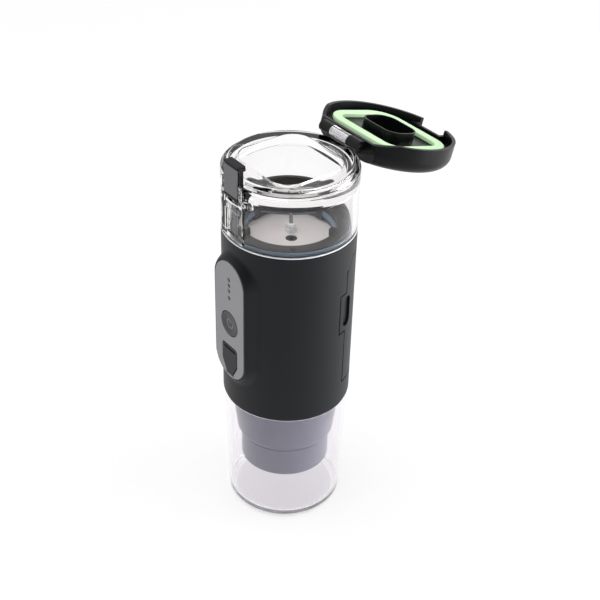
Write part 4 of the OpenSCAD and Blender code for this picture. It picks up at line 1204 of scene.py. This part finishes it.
@dataclass
class WaterTank:
    """The clear tank with its stepped rim, mouth, hinge knuckle and the housing of the latch."""

    wall: float = 2.9
    deck: float = 5.0
    dome: float = 8.0
    foot_round: float = 0.7
    rim_in: float = 3.0
    rim_round: float = 1.6
    rim_z: float = 221.5
    ledge_drop: float = 2.6
    ledge_round: float = 1.0
    mouth_w: float = 46.0
    mouth_l: float = 43.0
    mouth_r: float = 11.0
    mouth_round: float = 2.2
    knuckle_w: float = 13.4
    knuckle_r: float = 3.1
    pin_gap: float = 0.06
    rail_in: float = 6.4
    rail_w: float = 2.6
    rail_proud: float = 0.4
    rail_low: float = 5.5
    rail_top: float = 2.0
    room_y: float = -31.9
    room_low: float = 3.35
    room_wall: float = 3.4
    room_floor: float = 2.0
    window_low: float = 2.6
    window_drop: float = 5.0
    window_rim: float = 3.0
    window_floor: float = 0.4
    step_round: float = 0.4
    rim_steps: int = 8
    dome_steps: int = 12
    mouth_steps: int = 10
    knuckle_neck: float = 1.9
    knuckle_sink: float = 1.0
    knuckle_steps: int = 64
    hinge_pin_r: float = 1.25
    latch_pin_r: float = 1.0
    pin_reach: float = 30.0
    room_drop: float = 2.5
    rim_margin: float = 0.1
    edge: float = 0.4

    def build(self, hinge: Vector, latch: Vector) -> None:
        """Builds the tank around the lid's hinge and the latch's pin.

        Args:
            hinge: A point on the lid's axis.
            latch: A point on the latch's axis.
        """
        low, high = node_box("water_tank")
        radius, rim = high.x, self.rim_z
        inner, under = radius - self.wall, rim - self.deck
        ledge = rim - self.ledge_drop
        step = radius - self.rim_in
        profile = [(0, low.z, 0), (radius, low.z, self.foot_round), (radius, ledge, self.ledge_round),
                   (step, ledge, self.step_round), (step, rim, self.rim_round), (0, rim, 0)]
        tank = Solid(revolved(profile, segments=self.rim_steps))
        half = self.knuckle_w / 2
        tank.join(
            Solid(cross_rod(self.knuckle_r, half, hinge.y, hinge.z, self.knuckle_steps)),
            Solid(block((-half, hinge.y - self.knuckle_neck, ledge - self.knuckle_sink),
                        (half, hinge.y + self.knuckle_r, hinge.z))))
        foot = low.z - PAST
        hollow = [(0, foot, 0), (inner, foot, 0), (inner, under, self.dome), (0, under, 0)]
        tank.cut(Solid(revolved(hollow, segments=self.dome_steps)))
        self.housing(tank, low.z, radius, latch)
        mouth = rounded_face(box_corners(self.mouth_w, self.mouth_l, self.mouth_r), self.mouth_steps)
        tank.cut(
            Solid(thickened(mouth, under - PAST, rim + PAST)),
            Solid(cross_rod(self.hinge_pin_r + self.pin_gap, self.pin_reach, hinge.y, hinge.z)),
            Solid(cross_rod(self.latch_pin_r + self.pin_gap, self.pin_reach, latch.y, latch.z)))
        margin = self.rim_margin
        half_w, half_l = self.mouth_w / 2 + margin, self.mouth_l / 2 + margin
        tank.round_within(self.mouth_round, (-half_w, -half_l, rim - margin), (half_w, half_l, rim + margin))
        tank.soften(self.edge)
        tank.hand_over("tank_wall", CLEAR_TANK, Body.MACHINE, "water_tank")

    def housing(self, tank: Solid, foot: float, radius: float, latch: Vector) -> None:
        """Adds the latch's rails, the box behind it and the framed window below.

        Args:
            tank: The tank, which is changed.
            foot: Height of the tank's lower edge.
            radius: The tank's outer radius.
            latch: A point on the latch's axis.
        """
        end = self.rail_in + self.rail_w
        front, root = -radius - self.rail_proud, self.wall / 2 - radius
        room = latch.z - self.room_low
        rail_low, rail_top = latch.z - self.rail_low, self.rim_z - self.rail_top
        for x in (-end, self.rail_in):
            tank.join(Solid(block((x, front, rail_low), (x + self.rail_w, root, rail_top))))
        floor, ceiling = foot + self.window_low, latch.z - self.window_drop
        back, roof = self.room_y + self.room_wall, self.rim_z - self.room_drop
        tank.join(
            Solid(block((-end, root, room - self.room_floor), (end, back, roof))),
            Solid(block((-end, front, floor), (end, root, ceiling))))
        edge = self.window_rim
        side = end - edge
        tank.cut(
            Solid(block((-self.rail_in, -FAR, room), (self.rail_in, self.room_y, self.rim_z + PAST))),
            Solid(block((-side, -FAR, floor + edge), (side, self.window_floor - radius, ceiling - edge))))


@dataclass
class HeaterDeck:
    """What shows through the tank's mouth: heating plate, retaining ring, seal, probe and outlet."""

    plate_edge: float = 0.2
    lip_t: float = 1.1
    lip_low: float = 3.2
    lip_h: float = 3.0
    post_r: float = 25.4
    post_half: float = 1.5
    post_rise: float = 3.0
    post_spots: tuple[float, float] = (-5.0, 113.0)
    ring_w: float = 7.2
    ring_top: float = 186.0
    collar_t: float = 2.0
    collar_az: float = 142.0
    collar_low: float = 190.0
    collar_arc: tuple[float, float] = (203.0, 261.0)
    tab_reach: float = 1.2
    tab_drop: float = 2.0
    tab_az: float = 4.0
    tab_wrap: float = 12.0
    screw_az: float = 57.0
    screw_r: float = 29.8
    head_r: float = 1.7
    sleeve_h: float = 5.4
    outlet: tuple[float, float] = (2.0, 0.0)
    outlet_r: float = 3.2
    outlet_round: float = 0.35
    outlet_steps: int = 64
    ring_out_round: float = 0.3
    ring_in_round: float = 0.8
    ring_edge: float = 0.2
    root: float = 1.0
    tab_count: int = 4
    tab_round: float = 0.3
    collar_root: float = 0.5
    collar_round: float = 0.3
    collar_spare: float = 110.0
    screw_count: int = 4
    screw_sink: float = 1.2
    screw_steps: int = 32
    head_gap: float = 0.1
    head_h: float = 1.1
    head_round: float = 0.4
    shank_r: float = 0.9
    shank_round: float = 0.2
    cross_long: float = 1.0
    cross_wide: float = 0.25
    cross_low: float = 0.6
    seal_t: float = 0.9
    seal_round: float = 0.3
    seal_in_round: float = 0.15
    seal_waist: float = 0.2
    seal_waist_round: float = 0.1
    lip_round: float = 0.5
    probe_crown: float = 0.2
    probe_round: float = 0.95
    sleeve_gap: float = 0.05
    sleeve_t: float = 1.1
    sleeve_steps: int = 64
    sleeve_round: float = 0.4
    sleeve_bead: float = 0.5
    sleeve_groove: float = 0.7
    groove_half: float = 0.3
    groove_round: float = 0.1
    bead_half: float = 0.4
    bead_in: float = 0.2
    neck_out: float = 0.4
    neck_drop: float = 0.7
    bore_round: float = 0.2

    def build(self) -> None:
        """Builds the plate, the ring and its screws, the seal and the probe."""
        self.plate()
        self.ring()
        self.seal()
        self.probe()

    def plate(self) -> None:
        """Builds the steel plate with a drawn edge around its outlet."""
        low, high = node_box("heating_plate")
        x, y = self.outlet
        plate = Solid(revolved([(0, low.z, 0), (high.x, low.z, 0), (high.x, high.z, self.plate_edge),
                                (0, high.z, 0)]))
        hole = rod(self.outlet_r, (x, y, low.z - PAST), (x, y, high.z + PAST), self.outlet_steps)
        plate.cut(Solid(hole)).soften(self.outlet_round)
        plate.hand_over("heating_plate_sheet", BLASTED_STEEL_PAINTED_LIGHT, Body.MACHINE, "heating_plate")

    def ring(self) -> None:
        """Builds the retaining ring with its collar, inner tabs, two posts and sunk screws."""
        low, high = node_box("retaining_ring")
        outer, top = high.x, self.ring_top
        inner = outer - self.ring_w
        ring = Solid(revolved([(inner, low.z, 0), (outer, low.z, 0), (outer, top, self.ring_out_round),
                               (inner, top, self.ring_in_round)]))
        ring.join(self.collar(outer, high.z))
        tip, root, roof = inner - self.tab_reach, inner + self.root, top - self.tab_drop
        for i in range(self.tab_count):
            start = 360 / self.tab_count * i + self.tab_az
            lug = Solid(revolved([(tip, low.z, 0), (root, low.z, 0), (root, roof, 0),
                                  (tip, roof, self.tab_round)]))
            ring.join(lug.meet(Solid(wedge(low.z - PAST, top + PAST, start, start + self.tab_wrap))))
        half, r = self.post_half, self.post_r
        for azimuth in self.post_spots:
            turn = Matrix.Rotation(math.radians(azimuth), 4, "Z")
            post = block((-half, -r - half, top - self.root), (half, half - r, top + self.post_rise))
            ring.join(Solid(post, turn))
        screws = []
        sink = top - self.screw_sink
        for i in range(self.screw_count):
            spot = polar(self.screw_r, self.screw_az + 360 / self.screw_count * i)
            hole = rod(self.head_r + self.head_gap, (spot.x, spot.y, sink), (spot.x, spot.y, top + PAST),
                       self.screw_steps)
            ring.cut(Solid(hole))
            screws.append(self.screw(sink, spot))
        ring.soften(self.ring_edge, 2)
        ring.hand_over("retaining_ring_frame", RING_NYLON, Body.MACHINE, "retaining_ring")
        first, *others = screws
        first.join(*others).hand_over("ring_screw_heads", DARK_SCREW, Body.MACHINE, "ring_screws")

    def collar(self, outer: float, high: float) -> Solid:
        """Makes the splash collar on the ring, cut on a slant.

        Args:
            outer: The ring's outer radius.
            high: Height of the collar's high side.

        Returns:
            The collar.
        """
        inner, low = outer - self.collar_t, self.ring_top
        foot = low - self.collar_root
        collar = Solid(revolved([(inner, foot, 0), (outer, foot, 0), (outer, high, self.collar_round),
                                 (inner, high, self.collar_round)]))
        slant = math.atan((high - low) / (2 * outer))
        turn = Matrix.Rotation(math.radians(self.collar_az), 4, "Z")
        tip = Matrix.Translation((0, 0, (low + high) / 2)) @ Matrix.Rotation(-slant, 4, "Y")
        collar.cut(Solid(block((-FAR, -FAR, 0), (FAR, FAR, FAR)), turn @ tip))
        start, end = self.collar_arc
        step, roof = self.collar_low, high + PAST
        return collar.cut(Solid(wedge(step, roof, start - self.collar_spare, start)),
                          Solid(wedge(step, roof, end, end + self.collar_spare)))

    def screw(self, low: float, spot: Vector) -> Solid:
        """Makes one screw: domed head with a cross slot, on its shank.

        Args:
            low: Height of the head's lower face.
            spot: The screw's place.

        Returns:
            The screw.
        """
        shank = node_box("ring_screws")[0].z
        head = low + self.head_h
        corners = [(0, shank, 0), (self.shank_r, shank, self.shank_round), (self.shank_r, low, 0),
                   (self.head_r, low, 0), (self.head_r, head, self.head_round), (0, head, 0)]
        screw = Solid(revolved(corners, self.screw_steps))
        long, wide = self.cross_long, self.cross_wide
        for x, y in ((long, wide), (wide, long)):
            screw.cut(Solid(block((-x, -y, low + self.cross_low), (x, y, low + 2 * PAST))))
        return screw.move(Matrix.Translation((spot.x, spot.y, 0)))

    def seal(self) -> None:
        """Builds the tank's seal as a soft ring with two lips, and the lip around the plate."""
        low, high = node_box("tank_seal")
        outer = high.x
        inner = outer - self.seal_t
        corners = [(inner, low.z, self.seal_in_round), (outer, low.z, self.seal_round),
                   (outer - self.seal_waist, (low.z + high.z) / 2, self.seal_waist_round),
                   (outer, high.z, self.seal_round), (inner, high.z, self.seal_round)]
        Solid(revolved(corners)).hand_over("tank_seal_ring", BLUE_SILICONE, Body.MACHINE, "tank_seal")
        rim = node_box("retaining_ring")[1].x - self.ring_w
        edge = rim - self.lip_t
        foot = node_box("heating_plate")[1].z + self.lip_low
        top = foot + self.lip_h
        lip = [(edge, foot, self.lip_round), (rim, foot, 0), (rim, top, 0), (edge, top, self.lip_round)]
        Solid(revolved(lip)).hand_over("plate_lip", BLUE_SILICONE, Body.MACHINE)

    def probe(self) -> None:
        """Builds the steel probe and the stepped sleeve around its foot."""
        low, high = node_box("temperature_probe")
        spot = Matrix.Translation(((low.x + high.x) / 2, (low.y + high.y) / 2, 0))
        radius = (high.x - low.x) / 2
        crown = (radius, high.z - self.probe_crown, self.probe_round * radius)
        rod_corners = [(0, low.z, 0), (radius, low.z, 0), crown, (0, high.z, 0)]
        Solid(revolved(rod_corners, ROD_STEPS), spot).hand_over(
            "probe_rod", STEEL_PROBE, Body.MACHINE, "temperature_probe")
        base, top = node_box("probe_grommet")
        foot = (top.x - base.x) / 2
        waist = foot - self.sleeve_groove
        bore = radius + self.sleeve_gap
        neck = radius + self.sleeve_t
        crown_z = base.z + self.sleeve_h
        groove = (base.z + crown_z) / 2
        corners = [
            (bore, base.z, 0), (foot, base.z, 0), (foot, groove - self.bead_half, self.sleeve_bead),
            (waist, groove - self.groove_half, self.groove_round),
            (waist, groove + self.groove_half, self.groove_round),
            (foot - self.bead_in, groove + self.bead_half, self.sleeve_bead),
            (neck + self.neck_out, crown_z - self.neck_drop, self.sleeve_round),
            (neck, crown_z, self.sleeve_round), (bore, crown_z, self.bore_round),
        ]
        Solid(revolved(corners, self.sleeve_steps), spot).hand_over(
            "probe_sleeve", MILKY_SILICONE, Body.MACHINE, "probe_grommet")


@dataclass
class Lid:
    """The hinged lid: shell with ears and catch, liner with oval wall, gasket and vent. Modelled shut."""

    open_deg: float = 195.0
    radius: float = 36.4
    low: float = 221.8
    height: float = 12.0
    skirt: float = 2.6
    skirt_run: float = 9.0
    wall: float = 2.0
    top_round: float = 7.0
    back_room: float = 4.1
    back_rise: float = 2.5
    notch_half: float = 9.4
    notch_y: float = -30.0
    catch_y: float = -31.5
    catch_low: float = 2.8
    catch_t: float = 1.4
    catch_half: float = 6.0
    ear_r: float = 3.1
    ear_in: float = 7.0
    ear_w: float = 8.5
    gasket_w: float = 58.0
    gasket_l: float = 46.0
    gasket_band: float = 5.8
    gasket_t: float = 2.6
    gasket_round: float = 14.0
    gasket_in_round: float = 7.0
    liner_t: float = 2.0
    oval_w: float = 28.0
    oval_l: float = 21.6
    oval_r: float = 8.0
    oval_t: float = 0.8
    oval_proud: float = 3.0
    ear_slip: float = 0.03
    dish_roof: float = 4.2
    vent_y: float = -4.0
    edge: float = 0.4
    crown_steps: int = 12
    catch_root: float = 1.0
    ear_root: float = 0.3
    ear_low: float = 0.2
    ear_rise: float = 1.9
    ear_steps: int = 64
    pin_hole_r: float = 1.31
    pin_reach: float = 40.0
    liner_gap: float = 0.1
    liner_edge: float = 0.35
    dish_t: float = 1.2
    oval_steps: int = 16
    gasket_gap: float = 0.3
    gasket_edge: float = 0.7
    gasket_steps: int = 12
    vent_r: float = 2.4
    vent_h: float = 2.0
    vent_rim: float = 1.3
    vent_rim_round: float = 0.4
    vent_tip_r: float = 0.7
    vent_tip_round: float = 0.2
    vent_stem_r: float = 1.0
    vent_stem_h: float = 2.0

    def build(self, hinge: Vector) -> None:
        """Builds the lid's pieces and turns them open.

        Args:
            hinge: A point on the lid's axis.
        """
        self.hinge = hinge
        turn = Matrix.Rotation(math.radians(-self.open_deg), 4, "X")
        self.pose = Matrix.Translation(hinge) @ turn @ Matrix.Translation(-hinge)
        self.shell()
        self.liner()
        self.gasket()
        self.vent()

    def form(self, inset: float) -> Solid:
        """Makes the lid's outer form, or its hollow when drawn in.

        Args:
            inset: How far it is drawn in.

        Returns:
            The form.
        """
        radius = self.radius - inset
        top = self.low + self.height - inset
        foot = self.low - self.skirt - (PAST if inset else 0.0)
        profile = [(0, foot, 0), (radius, foot, 0), (radius, top, self.top_round - inset), (0, top, 0)]
        form = Solid(revolved(profile, segments=self.crown_steps))
        tilt = Matrix.Rotation(math.radians(self.open_deg - 180), 4, "X")
        spot = (0, self.hinge.y - self.back_room - inset, self.hinge.z + self.back_rise)
        form.cut(Solid(block((-FAR, 0, -FAR), (FAR, FAR, FAR)), Matrix.Translation(spot) @ tilt))
        form.cut(Solid(block((-self.notch_half - inset, -FAR, self.low - FAR / 2),
                             (self.notch_half + inset, self.notch_y + inset, self.low + FAR))))
        return form

    def shell(self) -> None:
        """Builds the shell with its catch and hinge ears."""
        y, z = self.hinge.y, self.hinge.z
        shell = self.form(0.0).cut(self.form(self.wall))
        catch = self.low + self.catch_low
        shell.join(Solid(block((-self.catch_half, self.catch_y, catch),
                               (self.catch_half, self.notch_y + self.catch_root, catch + self.catch_t))))
        root, foot = y - self.back_room - self.ear_root, z - self.ear_r + self.ear_low
        for x in (-self.ear_in - self.ear_w, self.ear_in):
            end = x + self.ear_w
            shell.join(Solid(rod(self.ear_r, (x, y, z), (end, y, z), self.ear_steps)),
                       Solid(block((x + self.ear_slip, root, foot),
                                   (end - self.ear_slip, y, z + self.ear_rise))))
        under = self.low - self.skirt - 2 * PAST
        shell.cut(Solid(cross_rod(self.pin_hole_r, self.pin_reach, y, z)),
                  Solid(rod(self.radius - self.wall, (0, 0, under), (0, 0, self.low), ROUND_STEPS)),
                  self.skirt_space(under))
        shell.soften(self.edge)
        shell.move(self.pose).hand_over("lid_cover", BLACK_LID_ABS, Body.LID, "lid_shell")

    def skirt_space(self, under: float) -> Solid:
        """Makes the space below the skirt, which slopes up to nothing at the hinge.

        Args:
            under: Height of the space's floor.

        Returns:
            The space.
        """
        end = self.hinge.y - self.back_room
        start = end - self.skirt_run
        face = rounded_face([(start, self.low - self.skirt, 0), (start, under, 0), (FAR, under, 0),
                             (FAR, self.low, 0), (end, self.low, 0)])
        upright = Matrix(((0, 0, 1, 0), (1, 0, 0, 0), (0, 1, 0, 0), (0, 0, 0, 1)))
        return Solid(thickened(face, -FAR, FAR), upright)

    def oval(self, inset: float, low: float, high: float) -> Solid:
        """Makes an oval bar.

        Args:
            inset: How far its outline is drawn in.
            low: Its lower height.
            high: Its upper height.

        Returns:
            The bar.
        """
        outline = box_corners(self.oval_w - 2 * inset, self.oval_l - 2 * inset, self.oval_r - inset)
        return Solid(thickened(rounded_face(outline, self.oval_steps), low, high))

    def liner(self) -> None:
        """Builds the liner plate with its oval wall and dish."""
        low = self.low + self.gasket_t
        high = low + self.liner_t
        dish = self.low + self.height - self.dish_roof
        rim = self.low - self.oval_proud
        reach = self.radius
        plate = Solid(revolved([(0, low, 0), (reach, low, 0), (reach, high, 0), (0, high, 0)]))
        plate.meet(self.form(self.wall + self.liner_gap))
        plate.join(self.oval(0.0, rim, dish + self.dish_t)).cut(self.oval(self.oval_t, rim - PAST, dish))
        plate.soften(self.liner_edge, 2)
        plate.move(self.pose).hand_over("lid_liner_plate", BLACK_LINER, Body.LID, "lid_liner")

    def gasket(self) -> None:
        """Builds the mint gasket with soft edges."""
        low, high = self.low, self.low + self.gasket_t
        foot, roof = low - 2 * PAST, high + 2 * PAST
        outline = box_corners(self.gasket_w, self.gasket_l, self.gasket_round)
        gasket = Solid(thickened(rounded_face(outline, self.gasket_steps), low, high))
        reach = self.radius - self.wall - self.gasket_gap
        gasket.meet(Solid(rod(reach, (0, 0, foot), (0, 0, roof), ROUND_STEPS)))
        inner = box_corners(self.gasket_w - 2 * self.gasket_band, self.gasket_l - 2 * self.gasket_band,
                            self.gasket_in_round)
        gasket.cut(Solid(thickened(rounded_face(inner, self.gasket_steps), foot, roof)))
        gasket.soften(self.gasket_edge, 4)
        gasket.move(self.pose).hand_over("lid_gasket_band", MINT_SILICONE, Body.LID, "lid_gasket")

    def vent(self) -> None:
        """Builds the small vent button in the dish."""
        dish = self.low + self.height - self.dish_roof
        tip, stem = dish - self.vent_h, dish + self.vent_stem_h
        corners = [
            (0, tip, 0), (self.vent_tip_r, tip, self.vent_tip_round),
            (self.vent_r, dish - self.vent_rim, self.vent_rim_round), (self.vent_r, dish, 0),
            (self.vent_stem_r, dish, 0), (self.vent_stem_r, stem, 0), (0, stem, 0),
        ]
        vent = Solid(revolved(corners, ROD_STEPS), Matrix.Translation((0, self.vent_y, 0)))
        vent.move(self.pose).hand_over("lid_vent_cap", MILKY_SILICONE, Body.LID, "lid_vent")


@dataclass
class Latch:
    """The latch that hooks over the lid's catch: a black lever behind a grey face and cap."""

    half_w: float = 6.0
    thick: float = 3.7
    height: float = 18.5
    hook_low: float = 15.6
    hook_reach: float = 1.4
    face_t: float = 0.9
    face_in: float = 0.35
    cap_t: float = 1.0
    groove_h: float = 0.6
    slot_h: float = 0.9
    pin_hole_r: float = 1.06
    pin_reach: float = 20.0
    edge: float = 0.3
    cap_edge: float = 0.35

    def build(self, axis: Vector) -> None:
        """Builds the lever around its pin, and its face.

        Args:
            axis: A point on the latch's axis.
        """
        place = Matrix.Translation(axis)
        half, wide = self.thick / 2, self.half_w
        front, hook = self.face_t - half, half + self.hook_reach
        top = self.height - self.cap_t
        lever = Solid(block((-wide, front, 0), (wide, half, top)))
        lever.join(Solid(cross_rod(half, wide, 0, 0)),
                   Solid(block((-wide, front, self.hook_low), (wide, hook, top))))
        lever.cut(Solid(cross_rod(self.pin_hole_r, self.pin_reach, 0, 0)))
        lever.soften(self.edge, 2)
        lever.move(place).hand_over("latch_lever_core", LATCH_BLACK, Body.LATCH, "latch_lever")
        face = Solid(block((-wide, -half, self.slot_h), (wide - self.face_in, front, top - self.groove_h)))
        face.soften(self.edge)
        face.move(place).hand_over("latch_face", GREY_LATCH, Body.LATCH)
        cap = Solid(block((-wide, -half, top), (wide, hook, self.height)))
        cap.soften(self.cap_edge)
        cap.move(place).hand_over("latch_cap", LATCH_BLACK, Body.LATCH)


@dataclass
class CapsuleHolder:
    """The grey holder that shows through the cup."""

    cylinder_h: float = 18.6
    cone_h: float = 4.0
    cylinder_r: float = 25.1
    collar_edge: float = 1.6
    collar_edge_h: float = 15.0
    crease: float = 0.4
    neck_r: float = 26.4
    bore_r: float = 23.2
    collar_top: float = 85.4
    floor: float = 3.0
    spout_r: float = 3.0
    foot_round: float = 1.5
    crease_round: float = 0.2
    crease_lip: float = 0.1
    crease_h: float = 0.5
    crease_top: float = 0.6
    step_out: float = 0.2
    cone_round: float = 3.0
    collar_round: float = 20.0
    top_round: float = 0.6
    floor_round: float = 0.6

    def build(self) -> None:
        """Builds the holder's stepped wall."""
        low, high = node_box("capsule_holder")
        collar = high.x
        cone_low = low.z + self.cylinder_h
        cone_top = cone_low + self.cone_h
        floor = low.z + self.floor
        crease = self.cylinder_r - self.crease
        corners = [
            (self.spout_r, low.z, 0), (self.cylinder_r, low.z, self.foot_round),
            (self.cylinder_r, cone_low, self.crease_round),
            (crease, cone_low + self.crease_lip, 0), (crease, cone_low + self.crease_h, 0),
            (self.cylinder_r + self.step_out, cone_low + self.crease_top, self.crease_round),
            (collar - self.collar_edge, cone_top, self.cone_round),
            (collar, cone_top + self.collar_edge_h, self.collar_round),
            (collar, self.collar_top, self.top_round),
            (self.neck_r, self.collar_top, 0), (self.neck_r, high.z, 0), (self.bore_r, high.z, 0),
            (self.bore_r, floor, self.floor_round), (self.spout_r, floor, 0),
        ]
        Solid(revolved(corners)).hand_over("holder_wall", GREY_HOLDER, Body.HOLDER, "capsule_holder")


@dataclass
class Studio:
    """Camera, lights, pale floor and white surroundings."""

    lens_mm: float = 68.91
    azimuth: float = 52.25
    pitch: float = 34.89
    roll: float = 1.66
    camera_spot: tuple[float, float, float] = (413.3, -311.5, 495.2)
    ambient: float = 0.9
    dark_side: float = 0.25
    dark_from: float = 0.1
    dark_to: float = 0.6
    floor_glow: float = 0.68
    key_spot: tuple[float, float, float] = (-200.0, -300.0, 1100.0)
    key_watts: float = 3.0
    strip_spot: tuple[float, float, float] = (554.0, 709.0, 140.0)
    strip_watts: float = 11.0
    aim: tuple[float, float, float] = (0.0, 0.0, 120.0)
    floor_m: float = 6.0
    paper: str = "#f6f6f6"
    key_size_m: tuple[float, float] = (0.7, 0.7)
    strip_size_m: tuple[float, float] = (0.9, 0.25)
    sensor: float = 36.0

    def build(self) -> None:
        """Sets up the view, the light and the floor."""
        scene = bpy.context.scene
        scene.view_settings.view_transform = "Standard"
        self.camera(scene)
        self.surroundings(scene)
        self.floor()
        self.lamp("key_softbox", self.key_spot, self.key_watts, self.key_size_m)
        self.lamp("strip_softbox", self.strip_spot, self.strip_watts, self.strip_size_m)

    def camera(self, scene: bpy.types.Scene) -> None:
        """Places the camera at the photograph's view.

        Args:
            scene: The scene, which takes the camera.
        """
        data = bpy.data.cameras.new("camera")
        data.sensor_width = self.sensor
        data.lens = self.lens_mm
        camera = bpy.data.objects.new("camera", data)
        turn = Matrix.Rotation(math.radians(self.azimuth), 4, "Z")
        tip = Matrix.Rotation(math.radians(90 - self.pitch), 4, "X")
        roll = Matrix.Rotation(math.radians(self.roll), 4, "Z")
        camera.matrix_world = Matrix.Translation(Vector(self.camera_spot) * MM) @ turn @ tip @ roll
        scene.collection.objects.link(camera)
        scene.camera = camera

    def seen(self, tree: Tree) -> Socket:
        """Tells rays that show a surface to the eye from those that only light the object.

        Args:
            tree: The node tree that asks.

        Returns:
            1 for rays from the camera, or by way of gloss or glass, and 0 for the rest.
        """
        path = add_node(tree, "ShaderNodeLightPath")
        direct = larger(tree, path.outputs["Is Camera Ray"], path.outputs["Is Glossy Ray"])
        return larger(tree, direct, path.outputs["Is Transmission Ray"])

    def surroundings(self, scene: bpy.types.Scene) -> None:
        """Makes the world white to the eye, darker behind the camera, and a soft light to the object.

        Args:
            scene: The scene, which takes the world.
        """
        world = bpy.data.worlds.new("white_surroundings")
        world.use_nodes = True
        tree = world.node_tree
        tree.nodes.clear()
        gaze = add_node(tree, "ShaderNodeTexCoord").outputs["Generated"]
        towards = add_node(tree, "ShaderNodeVectorMath", {"operation": "DOT_PRODUCT"},
                           {1: polar(1.0, self.azimuth)}, {0: gaze})
        dim = add_node(tree, "ShaderNodeMapRange", {"interpolation_type": "SMOOTHSTEP"},
                       {"From Min": self.dark_from, "From Max": self.dark_to, "To Min": 1.0,
                        "To Max": self.dark_side}, {"Value": towards.outputs["Value"]})
        path = add_node(tree, "ShaderNodeLightPath")
        level = larger(tree, dim.outputs["Result"], path.outputs["Is Camera Ray"])
        level = larger(tree, level, path.outputs["Is Transmission Ray"])
        soft = add_node(tree, "ShaderNodeBackground", values={"Strength": self.ambient})
        white = add_node(tree, "ShaderNodeBackground", links={"Strength": level})
        for node in (soft, white):
            fill(node, {"Color": (1.0, 1.0, 1.0, 1.0)})
        mix = add_node(tree, "ShaderNodeMixShader",
                       links={0: self.seen(tree), 1: soft.outputs[0], 2: white.outputs[0]})
        add_node(tree, "ShaderNodeOutputWorld", links={"Surface": mix.outputs[0]})
        scene.world = world

    def floor(self) -> None:
        """Lays the pale floor, which keeps the object's shadow."""
        shape = bmesh.new()
        bmesh.ops.create_grid(shape, x_segments=1, y_segments=1, size=self.floor_m / 2)
        mesh = bpy.data.meshes.new("floor")
        shape.to_mesh(mesh)
        shape.free()
        floor = bpy.data.objects.new("floor", mesh)
        bpy.context.scene.collection.objects.link(floor)
        material = bpy.data.materials.new("white_paper")
        material.use_nodes = True
        tree = material.node_tree
        tree.nodes.clear()
        paper = add_node(tree, "ShaderNodeBsdfDiffuse", values={"Color": linear(self.paper)})
        share = add_node(tree, "ShaderNodeMath", {"operation": "MULTIPLY"}, {1: self.floor_glow},
                         {0: self.seen(tree)})
        glow = add_node(tree, "ShaderNodeEmission", values={"Strength": 1.0})
        both = add_node(tree, "ShaderNodeMixShader",
                        links={0: share.outputs[0], 1: paper.outputs[0], 2: glow.outputs[0]})
        add_node(tree, "ShaderNodeOutputMaterial", links={"Surface": both.outputs[0]})
        mesh.materials.append(material)

    def lamp(self, name: str, spot: Sequence[float], watts: float, size_m: tuple[float, float]) -> None:
        """Hangs one softbox that looks at the object.

        Args:
            name: The lamp's name.
            spot: Its place, in millimetres.
            watts: Its power.
            size_m: Its width and height, in metres.
        """
        data = bpy.data.lights.new(name, "AREA")
        data.shape = "RECTANGLE"
        data.size, data.size_y = size_m
        data.energy = watts
        lamp = bpy.data.objects.new(name, data)
        gaze = (Vector(self.aim) - Vector(spot)).to_track_quat("-Z", "Y")
        lamp.matrix_world = Matrix.Translation(Vector(spot) * MM) @ gaze.to_matrix().to_4x4()
        bpy.context.scene.collection.objects.link(lamp)


def joint_point(frame: dict[str, Any], name: str) -> Vector:
    """Returns a point on a hinge's axis, in millimetres."""
    joint = next(j for j in frame["joints"] if j["name"] == name)
    return Vector(joint["pos_m"]) / MM


def dress_kept_nodes(frame: dict[str, Any]) -> None:
    """Gives each CAD node that keeps its shape its finish.

    Args:
        frame: The loaded frame, with its nodes.
    """
    for finish, nodes in KEPT_NODES.items():
        for node in nodes:
            obj = frame["nodes"][node]
            obj.data.materials.clear()
            obj.data.materials.append(finish.material())
            LOG.info("%s: %s", node, finish.name)


def corners(box: tuple[Vector, Vector]) -> list[list[float]]:
    """Returns a box's two corners as plain lists."""
    return [list(corner) for corner in box]


def main() -> None:
    """Builds the espresso maker piece by piece."""
    logging.basicConfig(level=logging.INFO, format="%(name)s: %(message)s")
    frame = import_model()
    hinge = joint_point(frame, "lid_swing")
    latch = joint_point(frame, "latch_swing")
    Studio().build()
    DrinkingCup().build()
    CapsuleHolder().build()
    MachineBody().build()
    ControlPanel().build()
    HeaterDeck().build()
    WaterTank().build(hinge, latch)
    Lid().build(hinge)
    Latch().build(latch)
    dress_kept_nodes(frame)


if __name__ == "__main__":
    main()
